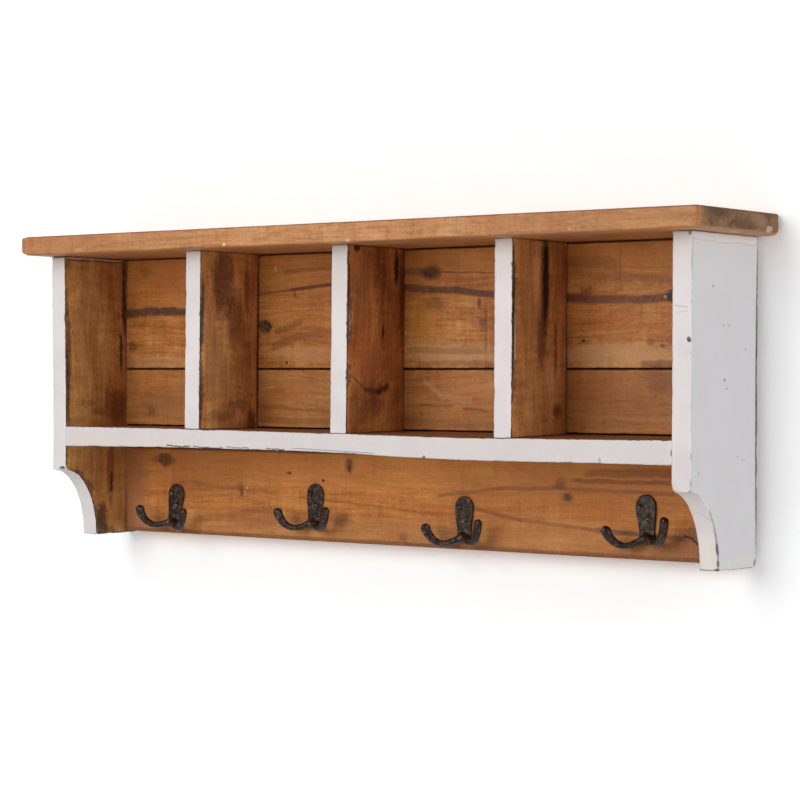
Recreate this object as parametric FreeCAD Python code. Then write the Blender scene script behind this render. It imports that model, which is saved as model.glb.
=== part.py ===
import FreeCAD, Part
import math
import os

# Wall coat rack: a shelf over four open cubbies, with a rail of cast double hooks below them.
# Millimetres. +X runs to the right seen from the front, +Y goes into the wall and +Z is up.
# The pieces are laid out with Z = 0 at the bottom of the side panels and Y = 0 on the wall.
# On export they move so that the origin lies midway between the two keyhole hangers' entry holes.

V = FreeCAD.Vector
X, Y, Z = V(1, 0, 0), V(0, 1, 0), V(0, 0, 1)

# Top board
top_length = 1005.0
top_thickness = 24.0
end_overhang = 25.5
front_overhang = 32.0
top_corner_radius = 3.5
top_end_upper_round = 6.5
top_end_lower_round = 9.0
top_long_round = 2.5

# Side panels
side_thickness = 24.0
side_depth = 134.0
side_height = 359.0
cove_depth = 56.0
cove_height = 85.0
heel_radius = 8.0

# Cubbies
cubby_count = 4
divider_thickness = 24.0
floor_thickness = 27.0
floor_top = 141.0
arris = 1.5

# Back planks and hook rail
plank_thickness = 24.0
plank_gap = 1.5
lower_plank_height = 72.0
rail_thickness = 24.0
rail_bottom = 3.0

# Dowels: the depths are those of the dowel in each of the two boards it joins
dowel_diameter = 8.0
dowel_fit = 0.1
dowel_end_gap = 1.0
dowel_face_depth = 14.0
dowel_end_depth = 26.0
dowel_inset = 25.0
plank_dowel_inset = 20.0

# Nails that hold the back planks to the dividers
nail_diameter = 2.5
nail_length = 50.0
nail_inset = 20.0
nail_head_diameter = 6.0
nail_head_height = 1.2
nail_fit = 0.1

# Cast hooks: a teardrop plate with two prongs that sweep out, forward and up
hook_plate_height = 54.5
hook_plate_width = 26.0
hook_plate_thickness = 3.0
hook_neck_width = 19.5
hook_neck_height = 15.0
hook_shoulder_drop = 5.5
hook_shoulder_radius = 20.0
prong_side_reach = 38.2
prong_front_reach = 23.5
prong_belly_reach = 23.0
prong_left_belly = -1.2
prong_right_belly = 0.8
prong_root_height = 5.0
prong_left_rise = 17.0
prong_right_rise = 24.5
prong_end_angle = 70.0
prong_root_half = 4.6
prong_belly_half = 3.5
prong_tip_half = 5.7
prong_half_width = 4.6
prong_tip_length = 5.2

# Each hook was fitted by eye: sideways shift from its cubby's middle, height of the plate's foot
# above the rail's lower edge, and lean of the plate in degrees, positive to the right
hook_places = (
    (-16.5, 9.6, 7.0),
    (-11.7, 16.7, 2.6),
    (-14.0, 8.7, -0.3),
    (6.4, 18.5, -3.8),
)

# Hook screws, with their places on the plate measured from the middle of its foot
hook_screw_spots = ((-8.0, 41.5), (2.5, 27.5))
hook_screw_diameter = 3.0
hook_screw_length = 16.0
hook_screw_head_diameter = 6.5
hook_screw_head_height = 2.2
screw_fit = 0.1
recess_width = 0.9
recess_depth = 1.2
recess_share = 0.62

# Keyhole hangers let into the back of the upper plank
hanger_end_inset = 53.0
hanger_below_top = 62.0
hanger_width = 20.0
hanger_height = 50.0
hanger_thickness = 2.0
hanger_corner_radius = 3.0
hanger_fit = 0.25
entry_diameter = 10.0
entry_to_bottom = 18.0
keyhole_slot_width = 5.0
keyhole_travel = 12.0
head_pocket_width = 13.0
head_pocket_depth = 9.0
hanger_screw_inset = 6.0
hanger_screw_diameter = 3.0
hanger_screw_length = 14.0
hanger_screw_head_diameter = 6.0

# Worked out from the sizes above
side_outer = top_length / 2 - end_overhang
side_inner = side_outer - side_thickness
inner_width = 2 * side_inner
cubby_width = (inner_width - (cubby_count - 1) * divider_thickness) / cubby_count
cubby_pitch = cubby_width + divider_thickness
floor_bottom = floor_top - floor_thickness
lower_plank_bottom = floor_top + plank_gap
lower_plank_top = lower_plank_bottom + lower_plank_height
upper_plank_bottom = lower_plank_top + plank_gap
upper_plank_top = side_height - plank_gap
hanger_x = side_inner - hanger_end_inset
hanger_z = side_height - hanger_below_top
plate_back = -rail_thickness
plate_front = plate_back - hook_plate_thickness
dowel_rows = (-side_depth + dowel_inset, -plank_thickness - dowel_inset)


def cubby_middle(index):
    return -side_inner + cubby_width / 2 + index * cubby_pitch


def divider_left(index):
    return -side_inner + cubby_width + index * cubby_pitch


def box(low, high):
    size = high - low
    return Part.makeBox(size.x, size.y, size.z, low)


def cylinder(start, axis, length, diameter):
    return Part.makeCylinder(diameter / 2, length, start, axis)


def rounded_wire(corners, place):
    """Closed wire round the 2-D corners (u, v, radius), each rounded by a tangent arc."""
    turns = []
    for i, (u, v, radius) in enumerate(corners):
        here = V(u, v, 0)
        u_next, v_next, _ = corners[(i + 1) % len(corners)]
        before = (V(corners[i - 1][0], corners[i - 1][1], 0) - here).normalize()
        after = (V(u_next, v_next, 0) - here).normalize()
        if radius == 0:
            turns.append((here, None, here))
            continue
        half = before.getAngle(after) / 2
        inward = (before + after).normalize()
        reach = radius / math.tan(half)
        nearest = here + inward * (radius / math.sin(half) - radius)
        turns.append((here + before * reach, nearest, here + after * reach))
    edges = []
    for i, (start, nearest, end) in enumerate(turns):
        if nearest is not None:
            edges.append(Part.Arc(place(start), place(nearest), place(end)).toShape())
        following = turns[(i + 1) % len(turns)][0]
        if (following - end).Length > 1e-6:
            edges.append(Part.makeLine(place(end), place(following)))
    return Part.Wire(edges)


def extrude(wire, direction):
    return Part.Face(wire).extrude(direction)


def on_xy(z):
    return lambda p: V(p.x, p.y, z)


def on_xz(y):
    return lambda p: V(p.x, y, p.y)


def on_yz(x):
    return lambda p: V(x, p.x, p.y)


def dowel_and_hole(joint, axis, depth_before, depth_after):
    """A dowel across the joint face at this point, and the blind hole that it sits in."""
    start = joint - axis * depth_before
    length = depth_before + depth_after
    dowel = cylinder(start, axis, length, dowel_diameter)
    hole = cylinder(
        start - axis * dowel_end_gap,
        axis,
        length + 2 * dowel_end_gap,
        dowel_diameter + 2 * dowel_fit,
    )
    return dowel, hole


def make_top_board():
    """The shelf: rounded front corners, well rounded ends and eased long edges."""
    half, front = top_length / 2, -side_depth - front_overhang
    low, high = side_height, side_height + top_thickness
    plan = rounded_wire(
        [
            (-half, 0, 0),
            (-half, front, top_corner_radius),
            (half, front, top_corner_radius),
            (half, 0, 0),
        ],
        on_xy(low),
    )
    ends = rounded_wire(
        [
            (-half, low, top_end_lower_round),
            (half, low, top_end_lower_round),
            (half, high, top_end_upper_round),
            (-half, high, top_end_upper_round),
        ],
        on_xz(front),
    )
    section = rounded_wire(
        [(0, low, 0), (front, low, top_long_round), (front, high, top_long_round), (0, high, 0)],
        on_yz(-half),
    )
    board = extrude(plan, Z * top_thickness)
    board = board.common(extrude(ends, Y * -front))
    return board.common(extrude(section, X * top_length))


def make_side(left_face):
    """A side panel with a cove cut from the lower front and a rounded heel at the wall."""
    front = -side_depth
    heel = V(0, -heel_radius, heel_radius)
    corner = math.sqrt(0.5) * heel_radius
    cove = Part.ArcOfEllipse(
        Part.Ellipse(V(0, front, cove_height), V(0, front + cove_depth, 0), V(0, front, 0)),
        0,
        math.pi / 2,
    )
    cove_edge = cove.toShape()
    cove_ends = sorted((v.Point for v in cove_edge.Vertexes), key=lambda p: p.z)
    edges = [
        Part.makeLine(V(0, 0, side_height), V(0, front, side_height)),
        Part.makeLine(V(0, front, side_height), cove_ends[1]),
        cove_edge,
        Part.makeLine(cove_ends[0], V(0, -heel_radius, 0)),
        Part.Arc(V(0, -heel_radius, 0), heel + V(0, corner, -corner), V(0, 0, heel_radius)).toShape(),
        Part.makeLine(V(0, 0, heel_radius), V(0, 0, side_height)),
    ]
    panel = extrude(Part.Wire(edges), X * side_thickness)
    panel.translate(X * left_face)
    front_edges = [
        e
        for e in panel.Edges
        if abs(e.BoundBox.YMin - front) < 1e-6 and abs(e.BoundBox.YMax - front) < 1e-6
        and e.BoundBox.ZLength > cove_height
    ]
    return panel.makeFillet(arris, front_edges)


def make_divider(index):
    left, right = divider_left(index), divider_left(index) + divider_thickness
    plan = rounded_wire(
        [
            (left, -plank_thickness, 0),
            (left, -side_depth, arris),
            (right, -side_depth, arris),
            (right, -plank_thickness, 0),
        ],
        on_xy(floor_top),
    )
    return extrude(plan, Z * (side_height - floor_top))


def make_floor():
    section = rounded_wire(
        [
            (0, floor_bottom, 0),
            (-side_depth, floor_bottom, arris),
            (-side_depth, floor_top, arris),
            (0, floor_top, 0),
        ],
        on_yz(-side_inner),
    )
    return extrude(section, X * inner_width)


def make_plank(low, high, thickness):
    return box(V(-side_inner, -thickness, low), V(side_inner, 0, high))


def prong_sections(side, belly, rise):
    """Closed oval sections along one prong: side is -1 for the left prong and +1 for the right."""
    reach = math.hypot(prong_side_reach, prong_front_reach)
    out = V(side * prong_side_reach, -prong_front_reach, 0) / reach
    across = out.cross(Z)
    sweep = reach - prong_belly_reach
    end = math.radians(prong_end_angle)
    bow, lift = sweep / math.sin(end), (rise - belly) / (1 - math.cos(end))
    fall = prong_root_height - belly

    def section(point, along, half_height, half_width):
        along.normalize()
        upward = along.cross(across).normalize()
        circle = Part.makeCircle(1.0)
        frame = FreeCAD.Matrix(
            across.x * half_width, upward.x * half_height, along.x, point.x,
            across.y * half_width, upward.y * half_height, along.y, point.y + plate_front,
            across.z * half_width, upward.z * half_height, along.z, point.z,
            0, 0, 0, 1,
        )
        return Part.Wire([circle.transformGeometry(frame)])

    sections = []
    for share in (0.0, 0.35, 0.7):
        turn = math.pi * share
        height = belly + fall * (1 + math.cos(turn)) / 2
        slope = -fall * math.pi / prong_belly_reach * math.sin(turn) / 2
        half = prong_root_half + (prong_belly_half - prong_root_half) * share
        point = out * (prong_belly_reach * share) + Z * height
        sections.append(section(point, out + Z * slope, half, prong_half_width))
    for share in (0.0, 0.25, 0.5, 0.75, 1.0):
        turn = end * share
        point = out * (prong_belly_reach + bow * math.sin(turn))
        point += Z * (lift * (1 - math.cos(turn)) + belly)
        along = out * (bow * math.cos(turn)) + Z * (lift * math.sin(turn))
        half = prong_belly_half + (prong_tip_half - prong_belly_half) * share
        sections.append(section(point, along, half, prong_half_width))
    for share in (0.5, 0.8, 0.96):
        shrink = math.sqrt(1 - share * share)
        tip = point + along * (prong_tip_length * share)
        sections.append(section(tip, V(along), prong_tip_half * shrink, prong_half_width * shrink))
    return sections


def make_hook_casting():
    """One casting, with the middle of its plate's foot at X = 0, Z = 0 and its back on the rail."""
    neck, wide = hook_neck_width / 2, hook_plate_width / 2
    shoulder = hook_plate_height - wide - hook_shoulder_drop
    right_edge = [
        (neck, 0, 0),
        (neck, hook_neck_height, hook_shoulder_radius),
        (wide, shoulder, hook_shoulder_radius),
        (wide, hook_plate_height, wide),
    ]
    left_edge = [(-u, v, radius) for u, v, radius in reversed(right_edge)]
    plate = extrude(rounded_wire(right_edge + left_edge, on_xz(plate_back)), -Y * hook_plate_thickness)
    prongs = [
        Part.makeLoft(prong_sections(-1, prong_left_belly, prong_left_rise), True),
        Part.makeLoft(prong_sections(1, prong_right_belly, prong_right_rise), True),
    ]
    span = 2 * (prong_side_reach + prong_tip_half)
    behind = box(V(-span, plate_back, -span), V(span, plate_back + span, span))
    casting = plate.fuse(prongs).cut(behind)
    for u, v in hook_screw_spots:
        casting = casting.cut(hook_screw_shank(u, v, screw_fit))
    return casting.removeSplitter()


def hook_screw_shank(u, v, fit):
    start = V(u, plate_front, v)
    return cylinder(start, Y, hook_screw_length + fit, hook_screw_diameter + 2 * fit)


def make_hook_screw(u, v):
    """A domed cross-recess screw with its head on the front of the hook's plate."""
    radius, rise = hook_screw_head_diameter / 2, hook_screw_head_height
    ball = (radius * radius + rise * rise) / (2 * rise)
    dome = Part.makeSphere(ball, V(u, plate_front + ball - rise, v))
    head = dome.common(cylinder(V(u, plate_front - rise, v), Y, rise, 2 * radius))
    arm, half = radius * recess_share, recess_width / 2
    near, far = plate_front - rise, plate_front - rise + recess_depth
    upright = box(V(u - half, near, v - arm), V(u + half, far, v + arm))
    level = box(V(u - arm, near, v - half), V(u + arm, far, v + half))
    return head.cut(upright.fuse(level)).fuse(hook_screw_shank(u, v, 0)).removeSplitter()


def fit_to_rail(shape, index):
    """Lean a hook's shape and carry it to its place on the rail."""
    shift, foot, lean = hook_places[index]
    placed = shape.copy()
    placed.rotate(V(0, 0, 0), Y, lean)
    placed.translate(V(cubby_middle(index) + shift, 0, rail_bottom + foot))
    return placed


def keyhole_outline(x, z, wide, narrow, depth):
    """Solid of a keyhole with its entry centred at x, z, from the wall plane into the plank."""
    entry = cylinder(V(x, 0, z), -Y, depth, wide)
    slot = box(V(x - narrow / 2, -depth, z), V(x + narrow / 2, 0, z + keyhole_travel))
    end = cylinder(V(x, 0, z + keyhole_travel), -Y, depth, narrow)
    return entry.fuse([slot, end]).removeSplitter()


def hanger_block(x, margin):
    """The hanger plate's outline as a solid, grown by a margin for the recess it sits in."""
    half = hanger_width / 2 + margin
    low = hanger_z - entry_to_bottom - margin
    high = hanger_z - entry_to_bottom + hanger_height + margin
    radius = hanger_corner_radius + margin
    corners = ((x - half, low), (x + half, low), (x + half, high), (x - half, high))
    wire = rounded_wire([(u, v, radius) for u, v in corners], on_xz(0))
    return extrude(wire, -Y * hanger_thickness)


def hanger_screw_centres(x):
    bottom = hanger_z - entry_to_bottom
    return [V(x, 0, bottom + hanger_screw_inset), V(x, 0, bottom + hanger_height - hanger_screw_inset)]


def make_hanger_screw(centre, fit):
    """A countersunk screw flush with the hanger's back, grown by a fit for its hole."""
    head_radius, shank_radius = hanger_screw_head_diameter / 2 + fit, hanger_screw_diameter / 2 + fit
    head = Part.makeCone(head_radius, shank_radius, head_radius - shank_radius, centre, -Y)
    shank = cylinder(centre, -Y, hanger_screw_length + fit, 2 * shank_radius)
    return head.fuse(shank).removeSplitter()


def make_hanger(x):
    plate = hanger_block(x, 0)
    plate = plate.cut(keyhole_outline(x, hanger_z, entry_diameter, keyhole_slot_width, hanger_thickness))
    for centre in hanger_screw_centres(x):
        plate = plate.cut(make_hanger_screw(centre, screw_fit))
    return plate


def hanger_cutters(x):
    """What the plank loses behind one hanger: the plate's recess, the head pocket and pilot holes."""
    pocket_depth = hanger_thickness + head_pocket_depth
    pocket = keyhole_outline(x, hanger_z, head_pocket_width, head_pocket_width, pocket_depth)
    pilots = [make_hanger_screw(centre, screw_fit) for centre in hanger_screw_centres(x)]
    return [hanger_block(x, hanger_fit), pocket] + pilots


def make_nail(x, z, fit):
    head = cylinder(V(x, 0, z), -Y, nail_head_height + fit, nail_head_diameter + 2 * fit)
    shank = cylinder(V(x, 0, z), -Y, nail_length + fit, nail_diameter + 2 * fit)
    return head.fuse(shank).removeSplitter()


boards = {
    "top_board": make_top_board(),
    "left_side_panel": make_side(-side_outer),
    "right_side_panel": make_side(side_inner),
    "left_divider": make_divider(0),
    "centre_divider": make_divider(1),
    "right_divider": make_divider(2),
    "cubby_floor": make_floor(),
    "lower_back_plank": make_plank(lower_plank_bottom, lower_plank_top, plank_thickness),
    "upper_back_plank": make_plank(upper_plank_bottom, upper_plank_top, plank_thickness),
    "hook_rail": make_plank(rail_bottom, floor_bottom, rail_thickness),
}
dividers = ("left_divider", "centre_divider", "right_divider")
sides = (("left_side_panel", -side_inner, -X), ("right_side_panel", side_inner, X))
small = {}


def join(group, dowel, hole, *names):
    """Add a dowel or nail to its group and cut its hole in each board that it goes through."""
    small.setdefault(group, []).append(dowel)
    for name in names:
        boards[name] = boards[name].cut(hole)


# Dowels from the uprights into the top board and from the dividers into the floor
uprights = [("left_side_panel", (-side_outer - side_inner) / 2)]
uprights += [(name, divider_left(i) + divider_thickness / 2) for i, name in enumerate(dividers)]
uprights += [("right_side_panel", (side_outer + side_inner) / 2)]
for name, x in uprights:
    for y in dowel_rows:
        joint = V(x, y, side_height)
        join("top_dowels", *dowel_and_hole(joint, Z, dowel_end_depth, dowel_face_depth), name, "top_board")
        if name in dividers:
            joint = V(x, y, floor_top)
            pair = dowel_and_hole(joint, Z, dowel_face_depth, dowel_end_depth)
            join("divider_dowels", *pair, name, "cubby_floor")

# Dowels from the ends of the floor, planks and hook rail into the side panels
rail_rows = (rail_bottom + dowel_inset, floor_bottom - dowel_inset)
plank_rows = {
    "lower_back_plank": (lower_plank_bottom + plank_dowel_inset, lower_plank_top - plank_dowel_inset),
    "upper_back_plank": (upper_plank_bottom + plank_dowel_inset, upper_plank_top - plank_dowel_inset),
}
for side, face, outward in sides:
    ends = [("floor_dowels", "cubby_floor", y, (floor_top + floor_bottom) / 2) for y in dowel_rows]
    ends += [("rail_dowels", "hook_rail", -rail_thickness / 2, z) for z in rail_rows]
    for plank, rows in plank_rows.items():
        ends += [("plank_dowels", plank, -plank_thickness / 2, z) for z in rows]
    for group, board, y, z in ends:
        pair = dowel_and_hole(V(face, y, z), outward, dowel_end_depth, dowel_face_depth)
        join(group, *pair, board, side)

# Nails through the planks into the back edges of the dividers, clear of the dowels in their ends
nail_rows = {
    "lower_back_plank": (lower_plank_top - nail_inset,),
    "upper_back_plank": (
        upper_plank_bottom + nail_inset,
        side_height - dowel_end_depth - dowel_end_gap - nail_inset,
    ),
}
for plank, rows in nail_rows.items():
    for i, name in enumerate(dividers):
        for z in rows:
            x = divider_left(i) + divider_thickness / 2
            join("plank_nails", make_nail(x, z, 0), make_nail(x, z, nail_fit), plank, name)

# Hooks and their screws
hooks = {}
casting = make_hook_casting()
for i in range(len(hook_places)):
    hooks[f"coat_hook_{i + 1}"] = fit_to_rail(casting, i)
    for u, v in hook_screw_spots:
        screw = fit_to_rail(make_hook_screw(u, v), i)
        hole = fit_to_rail(hook_screw_shank(u, v, screw_fit), i)
        join("hook_screws", screw, hole, "hook_rail")

# Hangers and their screws
for name, x in (("hanger_plate_left", -hanger_x), ("hanger_plate_right", hanger_x)):
    hooks[name] = make_hanger(x)
    for cutter in hanger_cutters(x):
        boards["upper_back_plank"] = boards["upper_back_plank"].cut(cutter)
    for centre in hanger_screw_centres(x):
        small.setdefault("hanger_screws", []).append(make_hanger_screw(centre, 0))

nodes = {**boards, **hooks, **{name: Part.makeCompound(pieces) for name, pieces in small.items()}}
os.makedirs("parts", exist_ok=True)
for name, shape in nodes.items():
    placed = shape.copy()
    placed.translate(-Z * hanger_z)
    placed.exportStep(f"parts/{name}.step")
    solids = [s for s in placed.Solids if s.isValid()]
    print(f"{name}: {len(solids)} solids, {sum(s.Volume for s in solids) / 1000:.2f} cm3")
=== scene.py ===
import math
from collections import namedtuple

import bpy
import numpy as np
from mathutils import Matrix, Vector


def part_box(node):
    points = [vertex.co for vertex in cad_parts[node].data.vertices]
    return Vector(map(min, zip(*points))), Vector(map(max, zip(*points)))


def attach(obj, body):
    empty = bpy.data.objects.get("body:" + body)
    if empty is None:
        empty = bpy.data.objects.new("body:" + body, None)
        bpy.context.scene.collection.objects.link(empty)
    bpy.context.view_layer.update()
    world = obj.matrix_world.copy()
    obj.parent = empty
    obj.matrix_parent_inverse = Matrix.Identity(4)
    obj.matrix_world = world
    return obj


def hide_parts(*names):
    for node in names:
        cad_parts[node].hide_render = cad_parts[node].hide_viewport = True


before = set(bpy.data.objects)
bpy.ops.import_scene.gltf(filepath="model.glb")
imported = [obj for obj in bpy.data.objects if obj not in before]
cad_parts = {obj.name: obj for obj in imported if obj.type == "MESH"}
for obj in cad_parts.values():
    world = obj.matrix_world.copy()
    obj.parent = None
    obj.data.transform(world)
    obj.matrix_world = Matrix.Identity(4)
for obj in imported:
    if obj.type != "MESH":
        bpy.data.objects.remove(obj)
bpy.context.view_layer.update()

# Wall coat rack. Shapes are laid out in millimetres with Z = 0 at the bottom of the side panels and
# Y = 0 on the wall, as in the part's source, and go to the frame in metres.
MM = 0.001
FRAME_DROP = -round(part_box("right_side_panel")[0][2] / MM, 3)
TINY = 1e-9


def node_box(name):
    """A CAD node's two corners in millimetres."""
    shift = np.array([0.0, 0.0, FRAME_DROP])
    return [np.round(np.array(corner) / MM + shift, 3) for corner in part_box(name)]


(SIDE_INNER, SIDE_FRONT, _), (SIDE_OUTER, _, SIDE_HEIGHT) = node_box("right_side_panel")
(_, _, FLOOR_BOTTOM), (_, _, FLOOR_TOP) = node_box("cubby_floor")
(_, PLANK_FRONT, RAIL_BOTTOM), _ = node_box("hook_rail")
(_, TOP_FRONT, TOP_BOTTOM), (TOP_HALF, _, _) = node_box("top_board")
COVE_DEPTH, COVE_HEIGHT, COVE_ROWS = 56.0, 85.0, 46
HEEL_RADIUS, SIDE_ROUND = 8.0, 1.5
# How far the white coat laps over the inner arrises of the sides and behind the other boards' front edges
COAT_LAP, FRONT_LAP = 0.7, 1.1
# The coat is off along the inner arris of a side's back: how wide, how deep, and as what depth it counts
BARE_ARRIS_WIDE, BARE_ARRIS_DEEP, BARE_ARRIS_DEPTH = 4.0, 3.0, 3.0
# Warp. Bow is how far a side stands to the right at some heights, and toe is that at its front and back.
STRAIGHT_BOW, STRAIGHT_TOE = ((0.0,), (0.0,)), (0.0, 0.0)
LEFT_BOW = ((0.0, COVE_HEIGHT, FLOOR_TOP, SIDE_HEIGHT), (0.0, 0.9, 1.2, -2.6))
RIGHT_TOE = (-1.9, 1.2)
# The cubby floor's front edge isn't straight: places along it, and how far its upper and its lower
# arris stand above the true line there
SAG_PLACES = (-453.0, -290.0, -190.0, -60.0, 10.0, 80.0, 180.0, 260.0, 350.0, 453.0)
SAG_UPPER = (0.0, 0.1, -0.5, -1.5, -1.9, -2.8, -3.8, -2.8, -2.3, -1.2)
SAG_LOWER = (1.8, 3.6, 3.8, 3.4, 2.4, 0.1, -1.8, -1.5, -1.0, -1.2)

# Seeded noise for shapes

SEED_FACTOR = 1274126177
AXIS_FACTORS = (374761393, 668265263, 2147483647)
HASH_ROUNDS = ((13, 1103515245), (16, 2246822519), (15, 1))


def smooth(low, high, x):
    t = np.clip((x - low) / (high - low), 0, 1)
    return t * t * (3 - 2 * t)


def hashed(cell, seed):
    """A number from 0 to 1 for each grid cell, the same for the same seed."""
    h = np.uint32((seed * 97 + 13) * SEED_FACTOR % 2**32)
    for column, factor in zip(cell.T, AXIS_FACTORS):
        h = h + column.astype(np.uint32) * np.uint32(factor)
    for shift, factor in HASH_ROUNDS:
        h = (h ^ (h >> np.uint32(shift))) * np.uint32(factor)
    return (h & np.uint32(0xFFFF)).astype(float) / 0xFFFF


def noise(points, size, seed):
    """Smooth noise from 0 to 1 with features about this many millimetres across."""
    scaled = points / size
    cell = np.floor(scaled).astype(np.int64)
    share = smooth(0, 1, scaled - cell)
    total = np.zeros(len(points))
    for corner in np.ndindex(2, 2, 2):
        weight = np.abs(1 - np.array(corner) - share).prod(axis=1)
        total += weight * hashed(cell + corner, seed)
    return total


# Boards: closed grids with fine loops along the arrises

EDGE_LOOPS = np.array([0.0, 0.5, 1.1, 1.9, 3.0, 4.6])
LOOPS_IN_THIN = 2.6
LINE_CLEARANCE = 0.6
SHARP_ANGLE = math.radians(55)
LOW_END, HIGH_END = (True, False), (False, True)
BOTH_ENDS = (True, True)
NO_LINES = ((), (), ())
BOARD_WAVE, WEAR_REACH = 0.25, 3.2


def spaced(low, high, cell, lines=()):
    """Grid lines from low to high, close together at both ends, and some lines at given places."""
    loops = EDGE_LOOPS * min(1.0, (high - low) / (LOOPS_IN_THIN * EDGE_LOOPS[-1]))
    count = max(2, int(round((high - low - 2 * loops[-1]) / cell)) + 1)
    inner = np.linspace(low + loops[-1], high - loops[-1], count)
    regular = np.concatenate([low + loops[:-1], inner, high - loops[:-1][::-1]])
    if not lines:
        return regular
    clear = np.abs(regular[:, None] - np.array(lines)).min(1) > LINE_CLEARANCE
    return np.sort(np.concatenate([regular[clear], lines]))


def lattice(xs, ys, zs):
    """Points and quads of the surface of a grid block."""
    grid = np.stack(np.meshgrid(xs, ys, zs, indexing="ij"), axis=-1)
    shape = grid.shape[:3]
    sides = []
    for axis in range(3):
        for end in (0, -1):
            cut = [slice(None)] * 3
            cut[axis] = end
            sides.append((tuple(cut), (end == -1) != (axis == 1)))
    shell = np.zeros(shape, bool)
    for cut, _ in sides:
        shell[cut] = True
    index = np.full(shape, -1)
    index[shell] = np.arange(shell.sum())
    quads = []
    for cut, outward in sides:
        face = index[cut]
        ring = np.stack([face[:-1, :-1], face[1:, :-1], face[1:, 1:], face[:-1, 1:]], axis=-1)
        quads.append(ring.reshape(-1, 4)[:, :: 1 if outward else -1])
    return grid[shell], np.concatenate(quads)


def second_least(distances):
    """How far points lie from the nearest arris, given their distances from the faces."""
    return np.sort(distances, axis=1)[:, 1]


def block(low, high, cells, lines=NO_LINES):
    """A straight block's points and quads, and how far each point lies from the nearest arris."""
    points, quads = lattice(*(spaced(*span) for span in zip(low, high, cells, lines)))
    return points, quads, second_least(np.minimum(points - low, high - points))


def round_pair(p, a, b, low, high, radius, ends_a=BOTH_ENDS, ends_b=BOTH_ENDS):
    """Round the edges that run along the third axis, in the plane of axes a and b."""
    past = []
    for axis, (at_low, at_high) in ((a, ends_a), (b, ends_b)):
        q = np.zeros(len(p))
        if at_low:
            q += np.minimum(p[:, axis] - (low[axis] + radius), 0)
        if at_high:
            q += np.maximum(p[:, axis] - (high[axis] - radius), 0)
        past.append(q)
    qa, qb = past
    corner = (np.abs(qa) > TINY) & (np.abs(qb) > TINY)
    scale = np.maximum(np.abs(qa), np.abs(qb)) / np.maximum(np.hypot(qa, qb), TINY)
    p[corner, a] += (qa * (scale - 1))[corner]
    p[corner, b] += (qb * (scale - 1))[corner]


def unit(vectors):
    return vectors / np.maximum(np.linalg.norm(vectors, axis=1, keepdims=True), TINY)


def vertex_normals(points, quads):
    a, b, c, d = (points[quads[:, k]] for k in range(4))
    normal = np.cross(c - a, d - b)
    total = np.zeros_like(points)
    for k in range(4):
        np.add.at(total, quads[:, k], normal)
    return unit(total)


def worn(points, quads, edge, seed, wear, wave, dents=()):
    """Sink the surface a little: slow waves, worn arrises and single dents (x, y, z, radius, depth)."""
    at_edge = 1 - smooth(0.0, WEAR_REACH, edge)
    chips = smooth(0.56, 0.8, noise(points, 9.0, seed)) * smooth(0.35, 0.7, noise(points, 31.0, seed + 1))
    chips += 0.45 * smooth(0.5, 0.85, noise(points, 3.4, seed + 2))
    sink = wear * at_edge * chips + wave * noise(points, 70.0, seed + 3)
    for *centre, radius, depth in dents:
        reach = np.linalg.norm(points - centre, axis=1) / radius
        sink += depth * np.clip(1 - reach * reach, 0, 1) ** 1.5
    return points - vertex_normals(points, quads) * sink[:, None]


def linked(name, data):
    """A new object in the scene."""
    item = bpy.data.objects.new(name, data)
    bpy.context.scene.collection.objects.link(item)
    return item


def new_piece(node, kind, points, quads, **values):
    """A mesh in the place of a CAD node, with named values at its points for the shaders."""
    name = f"{node}_{kind}"
    mesh = bpy.data.meshes.new(name)
    placed = (points - np.array([0, 0, FRAME_DROP])) * MM
    mesh.from_pydata(placed.tolist(), [], quads.tolist())
    for key, numbers in values.items():
        mesh.attributes.new(key, "FLOAT", "POINT").data.foreach_set("value", numbers.astype(np.float32))
    mesh.polygons.foreach_set("use_smooth", np.ones(len(mesh.polygons), bool))
    mesh.set_sharp_from_angle(angle=SHARP_ANGLE)
    mesh.update()
    piece = linked(name, mesh)
    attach(piece, "root")
    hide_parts(node)
    return piece


def board(node, seed, cells, radius, wear=0.7, back=0.0, lines=NO_LINES, form=None):
    """A straight board in the place of a CAD node, set in by this much at the back."""
    low, high = node_box(node)
    high[1] -= back
    points, quads, edge = block(low, high, cells, lines)
    for a, b in ((0, 2), (0, 1), (1, 2)):
        round_pair(points, a, b, low, high, radius)
    points = worn(points, quads, edge, seed, wear, BOARD_WAVE)
    if form:
        form(points)
    return new_piece(node, "wood", points, quads, edge=edge)


# The shelf's left and right end: the rounds of its upper and lower edge and of its front corner
END_ROUNDS = ((LOW_END, 9.5, 12.0, 3.5), (HIGH_END, 4.5, 7.5, 7.0))
FRONT_ROUND = 3.0
TOP_DENTS = (
    (-410.0, TOP_FRONT, TOP_BOTTOM + 1.5, 7.0, 1.6),
    (TOP_HALF - 2.0, -8.0, TOP_BOTTOM + 2.0, 9.0, 2.2),
    (470.0, TOP_FRONT, TOP_BOTTOM + 1.0, 5.0, 0.9),
)


def top_board():
    """The shelf, with ends worn a little rounder than the solid's."""
    low, high = node_box("top_board")
    points, quads, edge = block(low, high, (4.0, 6.0, 2.4))
    for ends, upper, lower, corner in END_ROUNDS:
        round_pair(points, 0, 2, low, high, upper, ends, HIGH_END)
        round_pair(points, 0, 2, low, high, lower, ends, LOW_END)
        round_pair(points, 0, 1, low, high, corner, ends, LOW_END)
    round_pair(points, 1, 2, low, high, FRONT_ROUND, LOW_END)
    points = worn(points, quads, edge, seed=11, wear=0.7, wave=0.35, dents=TOP_DENTS)
    return new_piece("top_board", "wood", points, quads, edge=edge)


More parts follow.
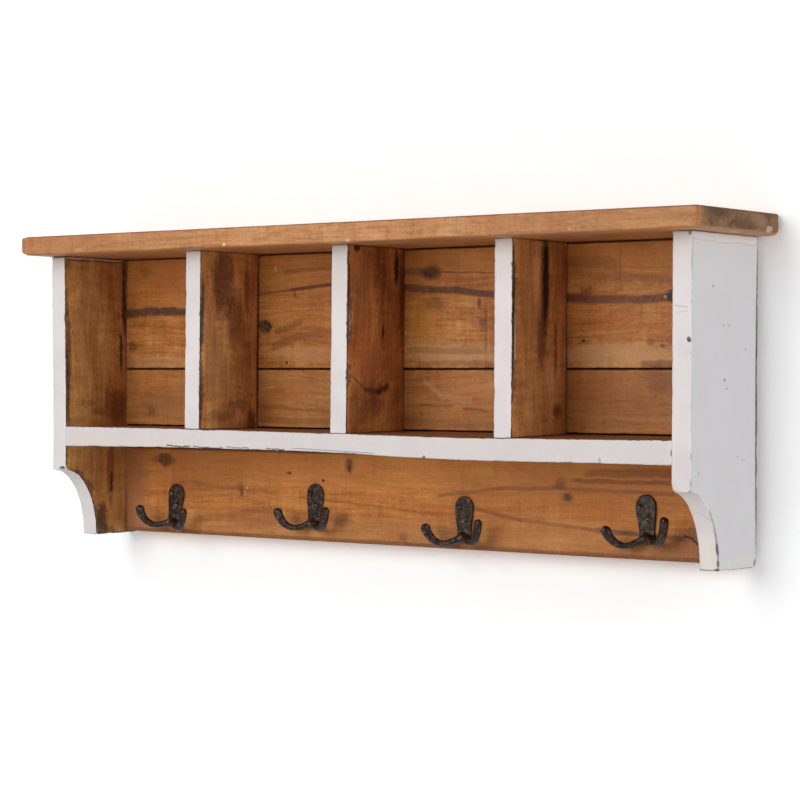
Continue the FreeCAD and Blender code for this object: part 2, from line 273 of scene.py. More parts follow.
def cove_grid(low, high):
    """A side's points and quads, its lower rows fanned round the cove."""
    rows = [np.linspace(0, COVE_HEIGHT, COVE_ROWS), spaced(COVE_HEIGHT, high[2], 5.0)[1:]]
    points, quads = lattice(spaced(low[0], high[0], 3.0), spaced(low[1], high[1], 6.0), np.concatenate(rows))
    y, z = points[:, 1], points[:, 2]
    turn = np.clip(1 - z / COVE_HEIGHT, 0, 1) * math.pi / 2
    below = z < COVE_HEIGHT
    share = ((y - low[1]) / (high[1] - low[1]))[:, None]
    start = np.stack([low[1] + COVE_DEPTH * np.sin(turn), COVE_HEIGHT * np.cos(turn)], axis=1)
    end = np.stack([np.full(len(points), high[1]), z], axis=1)
    points[below, 1:] = (start + share * (end - start))[below]
    return points, quads


def cove_edges(points, low, high):
    """How far each point of a side lies from the nearest arris."""
    x, y, z = points.T
    deep = y - low[1]
    cove = np.hypot(deep / COVE_DEPTH, z / COVE_HEIGHT)
    slope = np.hypot(deep / COVE_DEPTH**2, z / COVE_HEIGHT**2) / np.maximum(cove, TINY)
    to_cove = np.where(z < COVE_HEIGHT, np.abs(cove - 1) / np.maximum(slope, TINY), np.inf)
    to_front = np.where(z >= COVE_HEIGHT - 1e-6, deep, np.hypot(deep, z - COVE_HEIGHT))
    to_side = np.minimum(x - low[0], high[0] - x)
    return second_least(np.stack([to_side, to_front, to_cove, high[1] - y, z - low[2], high[2] - z], axis=1))


def side_core(points, low, high):
    """A side's points drawn in from every face by the radius of its arrises."""
    core = np.clip(points, low + SIDE_ROUND, high - SIDE_ROUND)
    cove_corner = np.array([low[1], 0.0])
    radii = np.array([COVE_DEPTH, COVE_HEIGHT]) + SIDE_ROUND
    for _ in range(4):
        away = core[:, 1:] - cove_corner
        share = np.linalg.norm(away / radii, axis=1)
        slope = away / radii**2
        steep = np.maximum(np.linalg.norm(slope, axis=1), TINY)
        push = np.where(share < 1, (1 - share) * share / steep, 0)
        core[:, 1:] += slope * (push / steep)[:, None]
    heel_middle = np.array([-HEEL_RADIUS, HEEL_RADIUS])
    away = core[:, 1:] - heel_middle
    reach = HEEL_RADIUS - SIDE_ROUND
    in_heel = (away[:, 0] > 0) & (away[:, 1] < 0) & (np.linalg.norm(away, axis=1) > reach)
    core[in_heel, 1:] = heel_middle + unit(away[in_heel]) * reach
    return core


def side_panel(node, seed, bow, toe, dents):
    """A side with its cove and rounded arrises, bare inside and at the back's inner arris."""
    low, high = node_box(node)
    points, quads = cove_grid(low, high)
    edge = cove_edges(points, low, high)
    core = side_core(points, low, high)
    points = core + SIDE_ROUND * unit(points - core)
    points = worn(points, quads, edge, seed, wear=0.8, wave=0.3, dents=dents)
    bare = SIDE_INNER + COAT_LAP - np.abs(points[:, 0])
    at_back = (bare > -BARE_ARRIS_WIDE) & (points[:, 1] > -BARE_ARRIS_DEEP)
    bare[at_back] = BARE_ARRIS_DEPTH
    points[:, 0] += np.interp(points[:, 2], *bow) + np.interp(points[:, 1], (low[1], high[1]), toe)
    return new_piece(node, "wood", points, quads, edge=edge, bare=bare)


# How far up a divider its foot follows the floor
FOOT_REACH = 60.0


def forward_share(points):
    """0 at the back planks, rising to 1 at the cubbies' front."""
    return np.clip((PLANK_FRONT - points[:, 1]) / (PLANK_FRONT - SIDE_FRONT), 0, 1)


def sagging(points):
    """The cubby floor's shape change: its front edge follows the sag."""
    upper = np.interp(points[:, 0], SAG_PLACES, SAG_UPPER)
    lower = np.interp(points[:, 0], SAG_PLACES, SAG_LOWER)
    height = np.clip((points[:, 2] - FLOOR_BOTTOM) / (FLOOR_TOP - FLOOR_BOTTOM), 0, 1)
    points[:, 2] += forward_share(points) * (lower + height * (upper - lower))


def leaning(top, foot):
    """A shape change for a divider: how far it stands to the right at its top and foot.

    Its foot also follows the sag of the floor it stands on.
    """

    def lean(points):
        at_foot = 1 - smooth(FLOOR_TOP, FLOOR_TOP + FOOT_REACH, points[:, 2])
        drop = np.interp(points[:, 0], SAG_PLACES, SAG_UPPER)
        points[:, 0] += np.interp(points[:, 2], (FLOOR_TOP, SIDE_HEIGHT), (foot, top))
        points[:, 2] += at_foot * forward_share(points) * drop

    return lean


# The upper plank's back: a recess for each hanger plate and a pocket behind its keyhole, as half width,
# bottom, top and depth
HANGER_X = 400.0
HANGER_CUTS = ((10.25, 278.75, 329.25, 2.05), (6.5, 290.5, 315.5, 9.05))
CUT_WALL, BACK_SKIN = 0.05, 1.0


def hanger_lines():
    """Grid lines at both ends of each cut's steep walls."""
    xs, zs = [], []
    for half, bottom, top, _ in HANGER_CUTS:
        for middle in (-HANGER_X, HANGER_X):
            xs += [middle - half, middle - half + CUT_WALL, middle + half - CUT_WALL, middle + half]
        zs += [bottom, bottom + CUT_WALL, top - CUT_WALL, top]
    return xs, (), zs


def hanger_recess(points):
    """The upper plank's shape change: its back sinks in the hanger cuts."""
    at_back = points[:, 1] > -BACK_SKIN
    across = np.abs(np.abs(points[:, 0]) - HANGER_X)
    inset = CUT_WALL / 2
    for half, bottom, top, depth in HANGER_CUTS:
        inside = at_back & (across < half - inset)
        inside &= (points[:, 2] > bottom + inset) & (points[:, 2] < top - inset)
        points[inside, 1] = -depth


LEFT_DENTS = ((-SIDE_INNER, SIDE_FRONT, COVE_HEIGHT, 6.0, 1.2),)
RIGHT_DENTS = ((SIDE_INNER, SIDE_FRONT, COVE_HEIGHT, 8.0, 2.2), (SIDE_OUTER, -60.0, 0.0, 8.0, 1.5))
# Each divider's seed and its lean at the top and foot
DIVIDER_LEANS = {
    "left_divider": (41, 0.5, -1.0),
    "centre_divider": (51, -0.1, -1.7),
    "right_divider": (61, 1.3, 1.0),
}
# Grid cells along the three axes, the radius of the arrises and how far the back is set in
DIVIDER_SHAPE = {"cells": (3.0, 5.0, 4.0), "radius": 1.5, "wear": 0.9}
FLOOR_SHAPE = {"cells": (4.0, 6.0, 3.0), "radius": 1.5}
PLANK_SHAPE = {"cells": (5.0, 4.0, 4.0), "radius": 1.0, "back": 0.3}
RAIL_SHAPE = {"cells": (4.0, 4.0, 4.0), "radius": 2.4, "back": 0.3}

pieces = {
    "top_board": top_board(),
    "left_side_panel": side_panel("left_side_panel", 21, LEFT_BOW, STRAIGHT_TOE, LEFT_DENTS),
    "right_side_panel": side_panel("right_side_panel", 31, STRAIGHT_BOW, RIGHT_TOE, RIGHT_DENTS),
}
for node, (seed, *lean) in DIVIDER_LEANS.items():
    pieces[node] = board(node, seed, form=leaning(*lean), **DIVIDER_SHAPE)
pieces["cubby_floor"] = board("cubby_floor", 71, form=sagging, **FLOOR_SHAPE)
pieces["lower_back_plank"] = board("lower_back_plank", 81, **PLANK_SHAPE)
pieces["upper_back_plank"] = board(
    "upper_back_plank", 91, lines=hanger_lines(), form=hanger_recess, **PLANK_SHAPE
)
pieces["hook_rail"] = board("hook_rail", 101, **RAIL_SHAPE)

# Cast hooks: a smooth blend of the plate and two swelling prongs, meshed from a distance field

PLATE_HEIGHT, PLATE_HALF, PLATE_THICKNESS, PLATE_EASE = 54.5, 13.0, 3.0, 0.9
NECK_HALF, FLARE_START, FLARE_END = 9.75, 11.0, 39.0
SIDE_REACH, FRONT_REACH, BELLY_REACH = 38.2, 23.5, 23.0
ROOT_HEIGHT, END_ANGLE = 5.0, math.radians(70.0)
ROOT_HALF, BELLY_HALF, TIP_HALF, HALF_WIDTH, TIP_LENGTH = 4.6, 3.5, 5.7, 4.6, 5.2
SECTION_POWER = 2.4
# Each prong's side, and the heights of its belly and its tip
PRONGS = ((-1, -1.2, 17.0), (1, 0.8, 24.5))
# The grid that a casting is meshed from, and how the prongs blend into the plate
GRID_LOW, GRID_HIGH = np.array([-48.0, -36.0, -8.0]), np.array([48.0, 1.5, 58.0])
GRID_STEP = 0.75
PLATE_MARGIN, PRONG_MARGIN, PRONG_BLEND = 6.0, 12.0, 4.5
OUTSIDE = 50.0
# Each hook's shift from the middle of its cubby, its foot's height on the rail and its lean in degrees
HOOK_PLACES = ((-16.5, 9.6, 7.0), (-11.7, 16.7, 2.6), (-14.0, 8.7, -0.3), (6.4, 18.5, -3.8))
HOOK_SCREWS = ((-8.0, 41.5), (2.5, 27.5))
# The cast skin's height and size of grain, coarse and fine, and the seats sunk round the screws
SKIN_GRAINS = ((0.45, 5.0), (0.22, 1.9))
SEAT_DEPTH, SEAT_INNER, SEAT_OUTER = 0.55, 4.2, 5.6
UPRIGHTS = ("left_side_panel", *DIVIDER_LEANS, "right_side_panel")


def prong_path(side, belly, rise):
    """Points along one prong, its half heights there and its horizontal cross direction."""
    reach = math.hypot(SIDE_REACH, FRONT_REACH)
    out = np.array([side * SIDE_REACH, -FRONT_REACH, 0.0]) / reach
    up = np.array([0.0, 0.0, 1.0])
    bow = (reach - BELLY_REACH) / math.sin(END_ANGLE)
    lift = (rise - belly) / (1 - math.cos(END_ANGLE))
    line, halves = [], []
    for s in np.linspace(0, 1, 24, endpoint=False):
        height = belly + (ROOT_HEIGHT - belly) * (1 + math.cos(math.pi * s)) / 2
        line.append(out * BELLY_REACH * s + up * height)
        halves.append(ROOT_HALF + (BELLY_HALF - ROOT_HALF) * s)
    for t in np.linspace(0, 1, 36):
        turn = END_ANGLE * t
        line.append(out * (BELLY_REACH + bow * math.sin(turn)) + up * (lift * (1 - math.cos(turn)) + belly))
        halves.append(BELLY_HALF + (TIP_HALF - BELLY_HALF) * t)
    return np.array(line), np.array(halves), np.cross(out, up)


def prong_field(points, line, halves, across):
    """Signed distance from a prong, about true near its skin."""
    tangent = unit(np.gradient(line, axis=0))
    upward = np.cross(tangent, across)
    upward *= np.sign(upward[:, 2:3])
    best = np.full(len(points), np.inf)
    nearest = np.zeros(len(points), int)
    for k, centre in enumerate(line):
        d = ((points - centre) ** 2).sum(1)
        closer = d < best
        best[closer] = d[closer]
        nearest[closer] = k
    away = points - line[nearest]
    a = np.abs(away @ across) / HALF_WIDTH
    b = np.abs((away * upward[nearest]).sum(1)) / halves[nearest]
    t = np.abs((away * tangent[nearest]).sum(1)) / TIP_LENGTH
    ring = (a**SECTION_POWER + b**SECTION_POWER) ** (1 / SECTION_POWER)
    return (np.hypot(ring, t) - 1) * np.minimum(HALF_WIDTH, halves[nearest])


def plate_field(points):
    """Signed distance from the plate: an outline with a round crown and a narrow neck, and eased edges."""
    heights = np.linspace(0, PLATE_HEIGHT, 140)
    top = PLATE_HEIGHT - PLATE_HALF
    widths = NECK_HALF + (PLATE_HALF - NECK_HALF) * smooth(FLARE_START, FLARE_END, heights)
    crown = np.sqrt(np.clip(PLATE_HALF**2 - np.maximum(heights - top, 0) ** 2, 0, None))
    widths = np.where(heights > top, crown, widths)
    outline = np.concatenate([[[0.0, 0.0]], np.stack([widths, heights], axis=1)])
    u, v = np.abs(points[:, 0]), points[:, 2]
    flat = np.full(len(points), np.inf)
    for p, q in zip(outline[:-1], outline[1:]):
        d = q - p
        share = np.clip(((u - p[0]) * d[0] + (v - p[1]) * d[1]) / max(d @ d, TINY), 0, 1)
        flat = np.minimum(flat, np.hypot(u - p[0] - share * d[0], v - p[1] - share * d[1]))
    inside = (v > 0) & (v < PLATE_HEIGHT) & (u < np.interp(v, heights, widths))
    qa = np.where(inside, -flat, flat) + PLATE_EASE
    qb = np.abs(points[:, 1] + PLATE_THICKNESS / 2) - PLATE_THICKNESS / 2 + PLATE_EASE
    return np.minimum(np.maximum(qa, qb), 0) + np.hypot(np.maximum(qa, 0), np.maximum(qb, 0)) - PLATE_EASE


def blend(a, b, reach):
    h = np.clip(0.5 + 0.5 * (b - a) / reach, 0, 1)
    return b + (a - b) * h - reach * h * (1 - h)


def surface_net(field, origin, step):
    """Quads through the cells of a grid where the field changes sign."""
    n = np.array(field.shape) - 1

    def corner(o):
        return field[tuple(slice(o[i], n[i] + o[i]) for i in range(3))]

    total, count = np.zeros((*n, 3)), np.zeros(tuple(n))
    for o in np.ndindex(2, 2, 2):
        for axis in range(3):
            if o[axis]:
                continue
            fa, fb = corner(o), corner([v + (axis == i) for i, v in enumerate(o)])
            cross = (fa < 0) != (fb < 0)
            share = np.where(cross, fa / np.where(cross, fa - fb, 1), 0)
            for i in range(3):
                total[..., i] += np.where(cross, o[i] + (share if i == axis else 0), 0)
            count += cross
    used = count > 0
    index = np.full(tuple(n), -1)
    index[used] = np.arange(used.sum())
    points = origin + (np.argwhere(used) + total[used] / count[used][:, None]) * step
    quads = []
    for axis in range(3):
        b, c = (axis + 1) % 3, (axis + 2) % 3
        first = np.array([0 if i == axis else 1 for i in range(3)])
        fa = field[tuple(slice(first[i], n[i]) for i in range(3))]
        fb = field[tuple(slice(1, n[i] + (i == axis)) for i in range(3))]
        at = np.argwhere((fa < 0) != (fb < 0))
        start = fa[tuple(at.T)] < 0
        ring = []
        for db, dc in ((1, 1), (0, 1), (0, 0), (1, 0)):
            shifted = at + first
            shifted[:, b] -= db
            shifted[:, c] -= dc
            ring.append(index[tuple(shifted.T)])
        ring = np.stack(ring, axis=1)
        quads.append(np.where(start[:, None], ring, ring[:, ::-1]))
    return points, np.concatenate(quads)


def casting():
    """Points and quads of one hook, with its foot's middle at the origin and its back at Y = 0."""
    shape = tuple(int(v) for v in np.ceil((GRID_HIGH - GRID_LOW) / GRID_STEP))
    points = GRID_LOW + np.stack(np.indices(shape), axis=-1).reshape(-1, 3) * GRID_STEP
    field = np.full(len(points), OUTSIDE)
    at_plate = np.abs(points[:, 0]) < PLATE_HALF + PLATE_MARGIN
    at_plate &= points[:, 1] > -PLATE_THICKNESS - PLATE_MARGIN
    field[at_plate] = plate_field(points[at_plate])
    for prong in PRONGS:
        line, halves, across = prong_path(*prong)
        line = line - np.array([0, PLATE_THICKNESS, 0])
        near = (points > line.min(0) - PRONG_MARGIN) & (points < line.max(0) + PRONG_MARGIN)
        close = near.all(1)
        field[close] = blend(field[close], prong_field(points[close], line, halves, across), PRONG_BLEND)
    field = np.maximum(field, points[:, 1])
    return surface_net(field.reshape(shape), GRID_LOW, GRID_STEP)


def coat_hook(index, points, quads):
    """One hook: the casting with its own rough skin, leaned and carried to its place on the rail."""
    seed = 200 + 10 * index
    rise = np.zeros(len(points))
    for k, (height, size) in enumerate(SKIN_GRAINS):
        rise += height * (noise(points, size, seed + k) - 0.5)
    in_front = points[:, 1] < -PLATE_THICKNESS / 2
    for u, v in HOOK_SCREWS:
        away = np.hypot(points[:, 0] - u, points[:, 2] - v)
        rise -= SEAT_DEPTH * smooth(SEAT_OUTER, SEAT_INNER, away) * in_front
    off_back = smooth(-0.3, -1.2, points[:, 1])
    points = points + vertex_normals(points, quads) * (rise * off_back)[:, None]
    shift, foot, lean = HOOK_PLACES[index]
    left, right = node_box(UPRIGHTS[index])[1][0], node_box(UPRIGHTS[index + 1])[0][0]
    c, s = math.cos(math.radians(lean)), math.sin(math.radians(lean))
    x = points[:, 0] * c + points[:, 2] * s + (left + right) / 2 + shift
    z = points[:, 2] * c - points[:, 0] * s + RAIL_BOTTOM + foot
    placed = np.stack([x, points[:, 1] + PLANK_FRONT, z], axis=1)
    return new_piece(f"coat_hook_{index + 1}", "casting", placed, quads)


hook_points, hook_quads = casting()
hooks = [coat_hook(index, hook_points, hook_quads) for index in range(len(HOOK_PLACES))]

# Materials. Colours are screen values until they reach a shader.


def tone(colour):
    """A colour's screen values as the linear numbers that shaders use."""
    linear = [((v / 255 + 0.055) / 1.055) ** 2.4 if v > 10 else v / 255 / 12.92 for v in colour]
    return (*linear, 1.0)


class Shader:
    """Builds one procedural material. Lengths are millimetres in the rack's own layout."""

    def __init__(self, name):
        self.material = bpy.data.materials.new(name)
        self.material.use_nodes = True
        self.nodes = self.material.node_tree.nodes
        self.links = self.material.node_tree.links
        self.nodes.clear()
        output = self.nodes.new("ShaderNodeOutputMaterial")
        self.skin = self.nodes.new("ShaderNodeBsdfPrincipled")
        self.links.new(self.skin.outputs[0], output.inputs[0])
        seat = self.nodes.new("ShaderNodeTexCoord").outputs["Object"]
        self.place = self.vector("MULTIPLY_ADD", seat, (1 / MM,) * 3, (0, 0, FRAME_DROP))
        split = self.nodes.new("ShaderNodeSeparateXYZ")
        self.put(split.inputs[0], self.place)
        self.x, self.y, self.z = split.outputs

    def axes(self, plane):
        """The two coordinates of a plane, xz or yz."""
        return (self.x if plane == "xz" else self.y), self.z

    def put(self, socket, value):
        if isinstance(value, bpy.types.NodeSocket):
            self.links.new(value, socket)
        else:
            socket.default_value = value

    def put_colour(self, socket, value):
        self.put(socket, tone(value) if isinstance(value, tuple) else value)

    def fill(self, node, values):
        for socket, value in zip(node.inputs, values):
            self.put(socket, value)
        return node.outputs[0]

    def vector(self, operation, *values):
        node = self.nodes.new("ShaderNodeVectorMath")
        node.operation = operation
        return self.fill(node, values)

    def math(self, operation, *values):
        node = self.nodes.new("ShaderNodeMath")
        node.operation = operation
        return self.fill(node, values)

    def chain(self, operation, values):
        total = values[0]
        for value in values[1:]:
            total = self.math(operation, total, value)
        return total

    def add(self, *values):
        return self.chain("ADD", values)

    def times(self, *values):
        return self.chain("MULTIPLY", values)

    def scaled(self, value, factor, start):
        return self.math("MULTIPLY_ADD", value, factor, start)

    def weighed(self, *pairs):
        """The sum of some values, each times its share."""
        return self.add(*(self.times(value, share) for value, share in pairs))

    def ratio(self, value, start, length):
        """How far a value lies past the start, as a share of the length."""
        return self.math("DIVIDE", self.add(value, -start), length)

    def squares(self, a, b):
        return self.add(self.times(a, a), self.times(b, b))

    def step(self, low, high, value):
        """0 below low and 1 above high, or the other way round when low is the greater."""
        node = self.nodes.new("ShaderNodeMapRange")
        node.interpolation_type = "SMOOTHSTEP"
        return self.fill(node, (value, low, high))

    def noise(self, sizes, seed, detail=2.0, roughness=0.5, place=None, output="Fac"):
        """Noise with features of this size, or of these sizes along the three axes."""
        if not isinstance(sizes, tuple):
            sizes = (sizes,) * 3
        start = (seed * 1.37 + 0.31, seed * 2.11 - 4.2, seed * 0.73 + 7.7)
        scaled = self.vector("MULTIPLY_ADD", place or self.place, tuple(1 / s for s in sizes), start)
        node = self.nodes.new("ShaderNodeTexNoise")
        self.put(node.inputs["Vector"], scaled)
        node.inputs["Scale"].default_value = 1.0
        node.inputs["Detail"].default_value = detail
        node.inputs["Roughness"].default_value = roughness
        return node.outputs[output]

    def attribute(self, name):
        node = self.nodes.new("ShaderNodeAttribute")
        node.attribute_name = name
        return node.outputs["Fac"]

    def ramp(self, value, *stops):
        node = self.nodes.new("ShaderNodeValToRGB")
        bar = node.color_ramp.elements
        while len(bar) < len(stops):
            bar.new(0.5)
        for item, (position, colour) in zip(bar, stops):
            item.position = position
            item.color = tone(colour)
        self.put(node.inputs[0], value)
        return node.outputs[0]

    def lay(self, under, over, *shares):
        """One colour laid over another by the product of some shares."""
        node = self.nodes.new("ShaderNodeMix")
        node.data_type = "RGBA"
        self.put(node.inputs[0], self.times(*shares))
        self.put_colour(node.inputs[6], under)
        self.put_colour(node.inputs[7], over)
        return node.outputs[2]

    def finish(self, colour, roughness, height, relief, gloss=0.28):
        """Wire up the skin. Relief is the height in millimetres that a height of 1 stands for."""
        bump = self.nodes.new("ShaderNodeBump")
        bump.inputs["Strength"].default_value = 1.0
        bump.inputs["Distance"].default_value = relief * MM
        self.put(bump.inputs["Height"], height)
        self.put(self.skin.inputs["Base Color"], colour)
        self.skin.inputs["Specular IOR Level"].default_value = gloss
        self.put(self.skin.inputs["Roughness"], roughness)
        self.put(self.skin.inputs["Normal"], bump.outputs[0])
        return self.material


def grain_sizes(along, length, across):
    return tuple(length if axis == along else across for axis in "xyz")


def wood(sh, along, seed, palette, knots=(), plane="xz"):
    """Colour and height of bare timber with its fibres along this axis.

    Growth rings run round the knots, each given as a centre and two radii in the plane's coordinates.
    """
    dark, middle, light = palette
    standing = along == "z"

    def grain(length, across, step, detail, roughness, place=None):
        return sh.noise(grain_sizes(along, length, across), seed + step, detail, roughness, place)

    swing = sh.noise(grain_sizes(along, 150, 60), seed, 1.0, output="Color")
    bent = sh.vector("MULTIPLY_ADD", swing, grain_sizes(along, 0.0, 24.0), sh.place)
    broad = grain(90, 36, 1, 3.0, 0.5, bent)
    streak = grain(110, 7.0 if standing else 4.0, 2, 4.0, 0.62, bent)
    fleck = grain(4.0, 1.8, 3, 3.0, 0.75)
    flame = grain(9, 44, 4, 3.0, 0.6)
    shares = (0.34, 0.24, 0.26, 0.16) if standing else (0.26, 0.32, 0.26, 0.16)
    value = sh.weighed(*zip((broad, streak, fleck, flame), shares))
    colour = sh.ramp(value, (0.385, dark), (0.50, middle), (0.615, light))
    colour = sh.lay(colour, (196, 96, 40), sh.step(0.42, 0.66, grain(70, 50, 5, 2.0, 0.5)), 0.16)
    near_knot = 0.0
    for (u, v), (ru, rv) in knots:
        across, up = sh.axes(plane)
        away = sh.squares(sh.ratio(across, u, ru), sh.ratio(up, v, rv))
        near_knot = sh.add(sh.math("EXPONENT", sh.times(away, -1.0)), near_knot)
    age = sh.weighed((grain(230, 42, 6, 1.0, 0.5, bent), 13.0), (fleck, 0.5), (near_knot, 3.4))
    ring = sh.step(0.35, 1.0, sh.math("SINE", sh.times(age, 2 * math.pi)))
    clear = sh.step(0.44, 0.64, grain(120, 60, 7, 1.0, 0.5))
    shown = sh.weighed((clear, 0.12 if standing else 0.24), (near_knot, 0.42))
    colour = sh.lay(colour, dark, ring, shown)
    pores = sh.step(0.62, 0.72, grain(8, 0.9, 8, 1.0, 0.5, bent))
    colour = sh.lay(colour, dark, pores, 0.34)
    return colour, sh.weighed((streak, 0.7), (fleck, 0.5), (pores, -0.6))


# Marks that are laid over a colour, painted light and shade among them. Band is a streak: its ends, its
# width
# and how far it strays. Spot is a patch: its centre, two radii, and how ragged and how soft its rim is.
Band = namedtuple("Band", "u0 v0 u1 v1 width ragged tint strength")
Spot = namedtuple("Spot", "u v ru rv ragged soft tint strength")


def marked(sh, colour, gate, plane, marks, seed):
    """Lay marks, painted light and shade among them, over a colour, in this plane and where the gate is
    open.
    """
    u, v = sh.axes(plane)
    stray = sh.add(sh.noise(22, seed, 3.0, 0.6), -0.5)
    rim = sh.add(sh.noise(9, seed + 1, 3.0, 0.6), -0.5)
    fuzz = sh.scaled(sh.noise(3.4, seed + 2, 3.0, 0.75), 1.1, 0.45)
    cover = sh.times(fuzz, gate)
    for mark in marks:
        if isinstance(mark, Band):
            share = sh.ratio(u, mark.u0, mark.u1 - mark.u0)
            away = sh.math("SUBTRACT", v, sh.scaled(share, mark.v1 - mark.v0, mark.v0))
            away = sh.math("ABSOLUTE", sh.scaled(stray, mark.ragged, away))
            mask = sh.step(mark.width * 0.72, mark.width * 0.28, away)
            mask = sh.times(mask, sh.step(-0.05, 0.05, share), sh.step(1.05, 0.95, share))
        else:
            away = sh.math("SQRT", sh.squares(sh.ratio(u, mark.u, mark.ru), sh.ratio(v, mark.v, mark.rv)))
            mask = sh.step(1 + mark.soft / 2, 1 - mark.soft / 2, sh.scaled(rim, mark.ragged, away))
        colour = sh.lay(colour, mark.tint, mask, cover, mark.strength)
    return colour


GRIME = (36, 29, 27)
TAUPE = (128, 104, 91)
BONE = (212, 203, 198)
UMBER = (82, 46, 28)
PURPLE = (100, 60, 44)
OLIVE = (104, 72, 36)
RUST = (118, 60, 30)
TAN = (206, 160, 112)
PLANK = ((136, 79, 31), (186, 122, 60), (219, 159, 92))
LOWER = ((145, 90, 42), (177, 117, 61), (195, 137, 79))
RAIL = ((154, 86, 34), (201, 128, 59), (227, 159, 83))
UPRIGHT = ((126, 79, 42), (187, 126, 73), (222, 164, 106))
LEFTMOST = ((131, 88, 44), (195, 140, 81), (231, 182, 117))
SECOND = ((141, 93, 49), (209, 148, 89), (247, 193, 127))
REDDISH = ((117, 64, 32), (178, 111, 59), (217, 155, 94))
SHADED = ((92, 54, 30), (128, 82, 48), (156, 108, 68))
TOP = ((152, 97, 55), (194, 139, 91), (213, 163, 112))
BEECH = ((74, 50, 32), (92, 64, 42), (110, 80, 54))


def paint(sh, along, seed):
    """Colour and height of old white paint brushed along this axis."""
    brush = sh.noise(grain_sizes(along, 60, 1.5), seed, 3.0, 0.6)
    cloud = sh.noise(52, seed + 1, 3.0, 0.55)
    colour = sh.ramp(cloud, (0.32, (217, 210, 209)), (0.52, (223, 217, 217)), (0.70, (226, 221, 221)))
    colour = sh.lay(colour, (204, 198, 198), sh.step(0.48, 0.78, brush), 0.16)
    specks = sh.step(0.80, 0.82, sh.noise(2.8, seed + 2, 1.0))
    colour = sh.lay(colour, (126, 118, 114), specks, 0.5)
    return colour, sh.weighed((brush, 0.7), (cloud, 0.6), (specks, -0.8))


def behind_front(sh):
    """Bare depth of a board with only its front edge painted."""
    return sh.add(sh.y, -SIDE_FRONT - FRONT_LAP)


def inside_panel(sh):
    """Bare depth of a side, whose inner face is bare."""
    return sh.attribute("bare")


def painted_board(name, along, seed, palette, bare_depth, strip, coat_marks=(), timber_marks=(), knots=()):
    """Timber with a coat of white on part of it.

    The bare depth is how far a point lies past the edge of the coat, and strip is the usual width of the
    scuffed border there. Marks come as (gate, plane, marks).
    """
    sh = Shader(name)
    colour, height = wood(sh, along, seed, palette, knots, "yz")
    for gate, plane, marks in timber_marks:
        colour = marked(sh, colour, gate(sh), plane, marks, seed + 10)
    coat, coat_height = paint(sh, along, seed + 20)
    for gate, plane, marks in coat_marks:
        coat = marked(sh, coat, gate(sh), plane, marks, seed + 15)
    edge = sh.attribute("edge")
    fine = sh.noise(4.5, seed + 30, 4.0, 0.65)
    coarse = sh.noise(34, seed + 31, 2.0, 0.5)
    fray = sh.add(fine, -0.5)
    depth = bare_depth(sh)
    bare = sh.step(-0.12, 0.12, sh.add(fray, depth))
    from_rim = edge if bare_depth is inside_panel else depth
    reach = sh.times(sh.scaled(sh.step(0.38, 0.62, coarse), 1.1, 0.3), strip)
    scuffed = sh.step(1.1, 0.8, sh.scaled(fray, 1.6, sh.math("DIVIDE", from_rim, reach)))
    below_top = sh.step(SIDE_HEIGHT - 3.0, SIDE_HEIGHT - 14.0, sh.z)
    crumb = sh.noise(grain_sizes(along, 5.0, 2.2), seed + 32, 3.0, 0.7)
    crust = sh.ramp(crumb, (0.44, GRIME), (0.53, (90, 64, 48)), (0.63, TAUPE), (0.73, BONE))
    colour = sh.lay(colour, crust, scuffed, below_top, 0.6)
    split = sh.step(1.9, 0.7, sh.scaled(fray, 3.0, from_rim))
    colour = sh.lay(colour, GRIME, split, sh.step(0.28, 0.42, coarse), 0.9)
    chip = sh.step(-0.4, -1.2, sh.weighed((edge, 1.0), (fray, -7.0), (sh.add(coarse, -0.5), -6.0)))
    coat = sh.lay(coat, sh.ramp(crumb, (0.44, GRIME), (0.56, TAUPE)), chip, 0.8)
    thin = (sh.step(1.0, 0.4, edge), sh.step(0.47, 0.60, coarse), sh.step(0.40, 0.56, fine), 0.6)
    coat = sh.lay(coat, (112, 102, 98), *thin)
    lift = sh.scaled(sh.math("MAXIMUM", bare, chip), -1.2, 1.2)
    relief = sh.add(sh.times(height, sh.scaled(bare, 0.7, 0.3)), sh.times(coat_height, 0.3), lift)
    return sh.finish(sh.lay(coat, colour, bare), sh.scaled(bare, 0.06, 0.50), relief, 0.16)


# Gates are open near a face and shut deeper in
GATE_OPEN, GATE_SHUT = 2.0, 4.0


def facing_front(y):
    return lambda sh: sh.step(y + GATE_SHUT, y + GATE_OPEN, sh.y)


def facing_right(x):
    return lambda sh: sh.step(x - GATE_SHUT, x - GATE_OPEN, sh.x)


def on_cove(sh):
    """Open on the curved face of a side's cove and just behind its arris."""
    along, above = sh.ratio(sh.y, SIDE_FRONT, COVE_DEPTH), sh.ratio(sh.z, 0.0, COVE_HEIGHT)
    return sh.step(1.045, 1.02, sh.math("SQRT", sh.squares(along, above)))


def uneven_edge(sh, size, seed, detail, roughness):
    """How far a point lies from the nearest arris, made uneven."""
    return sh.scaled(sh.noise(size, seed, detail, roughness), -5.0, sh.add(sh.attribute("edge"), 2.5))


SAW_PITCH = 3.6


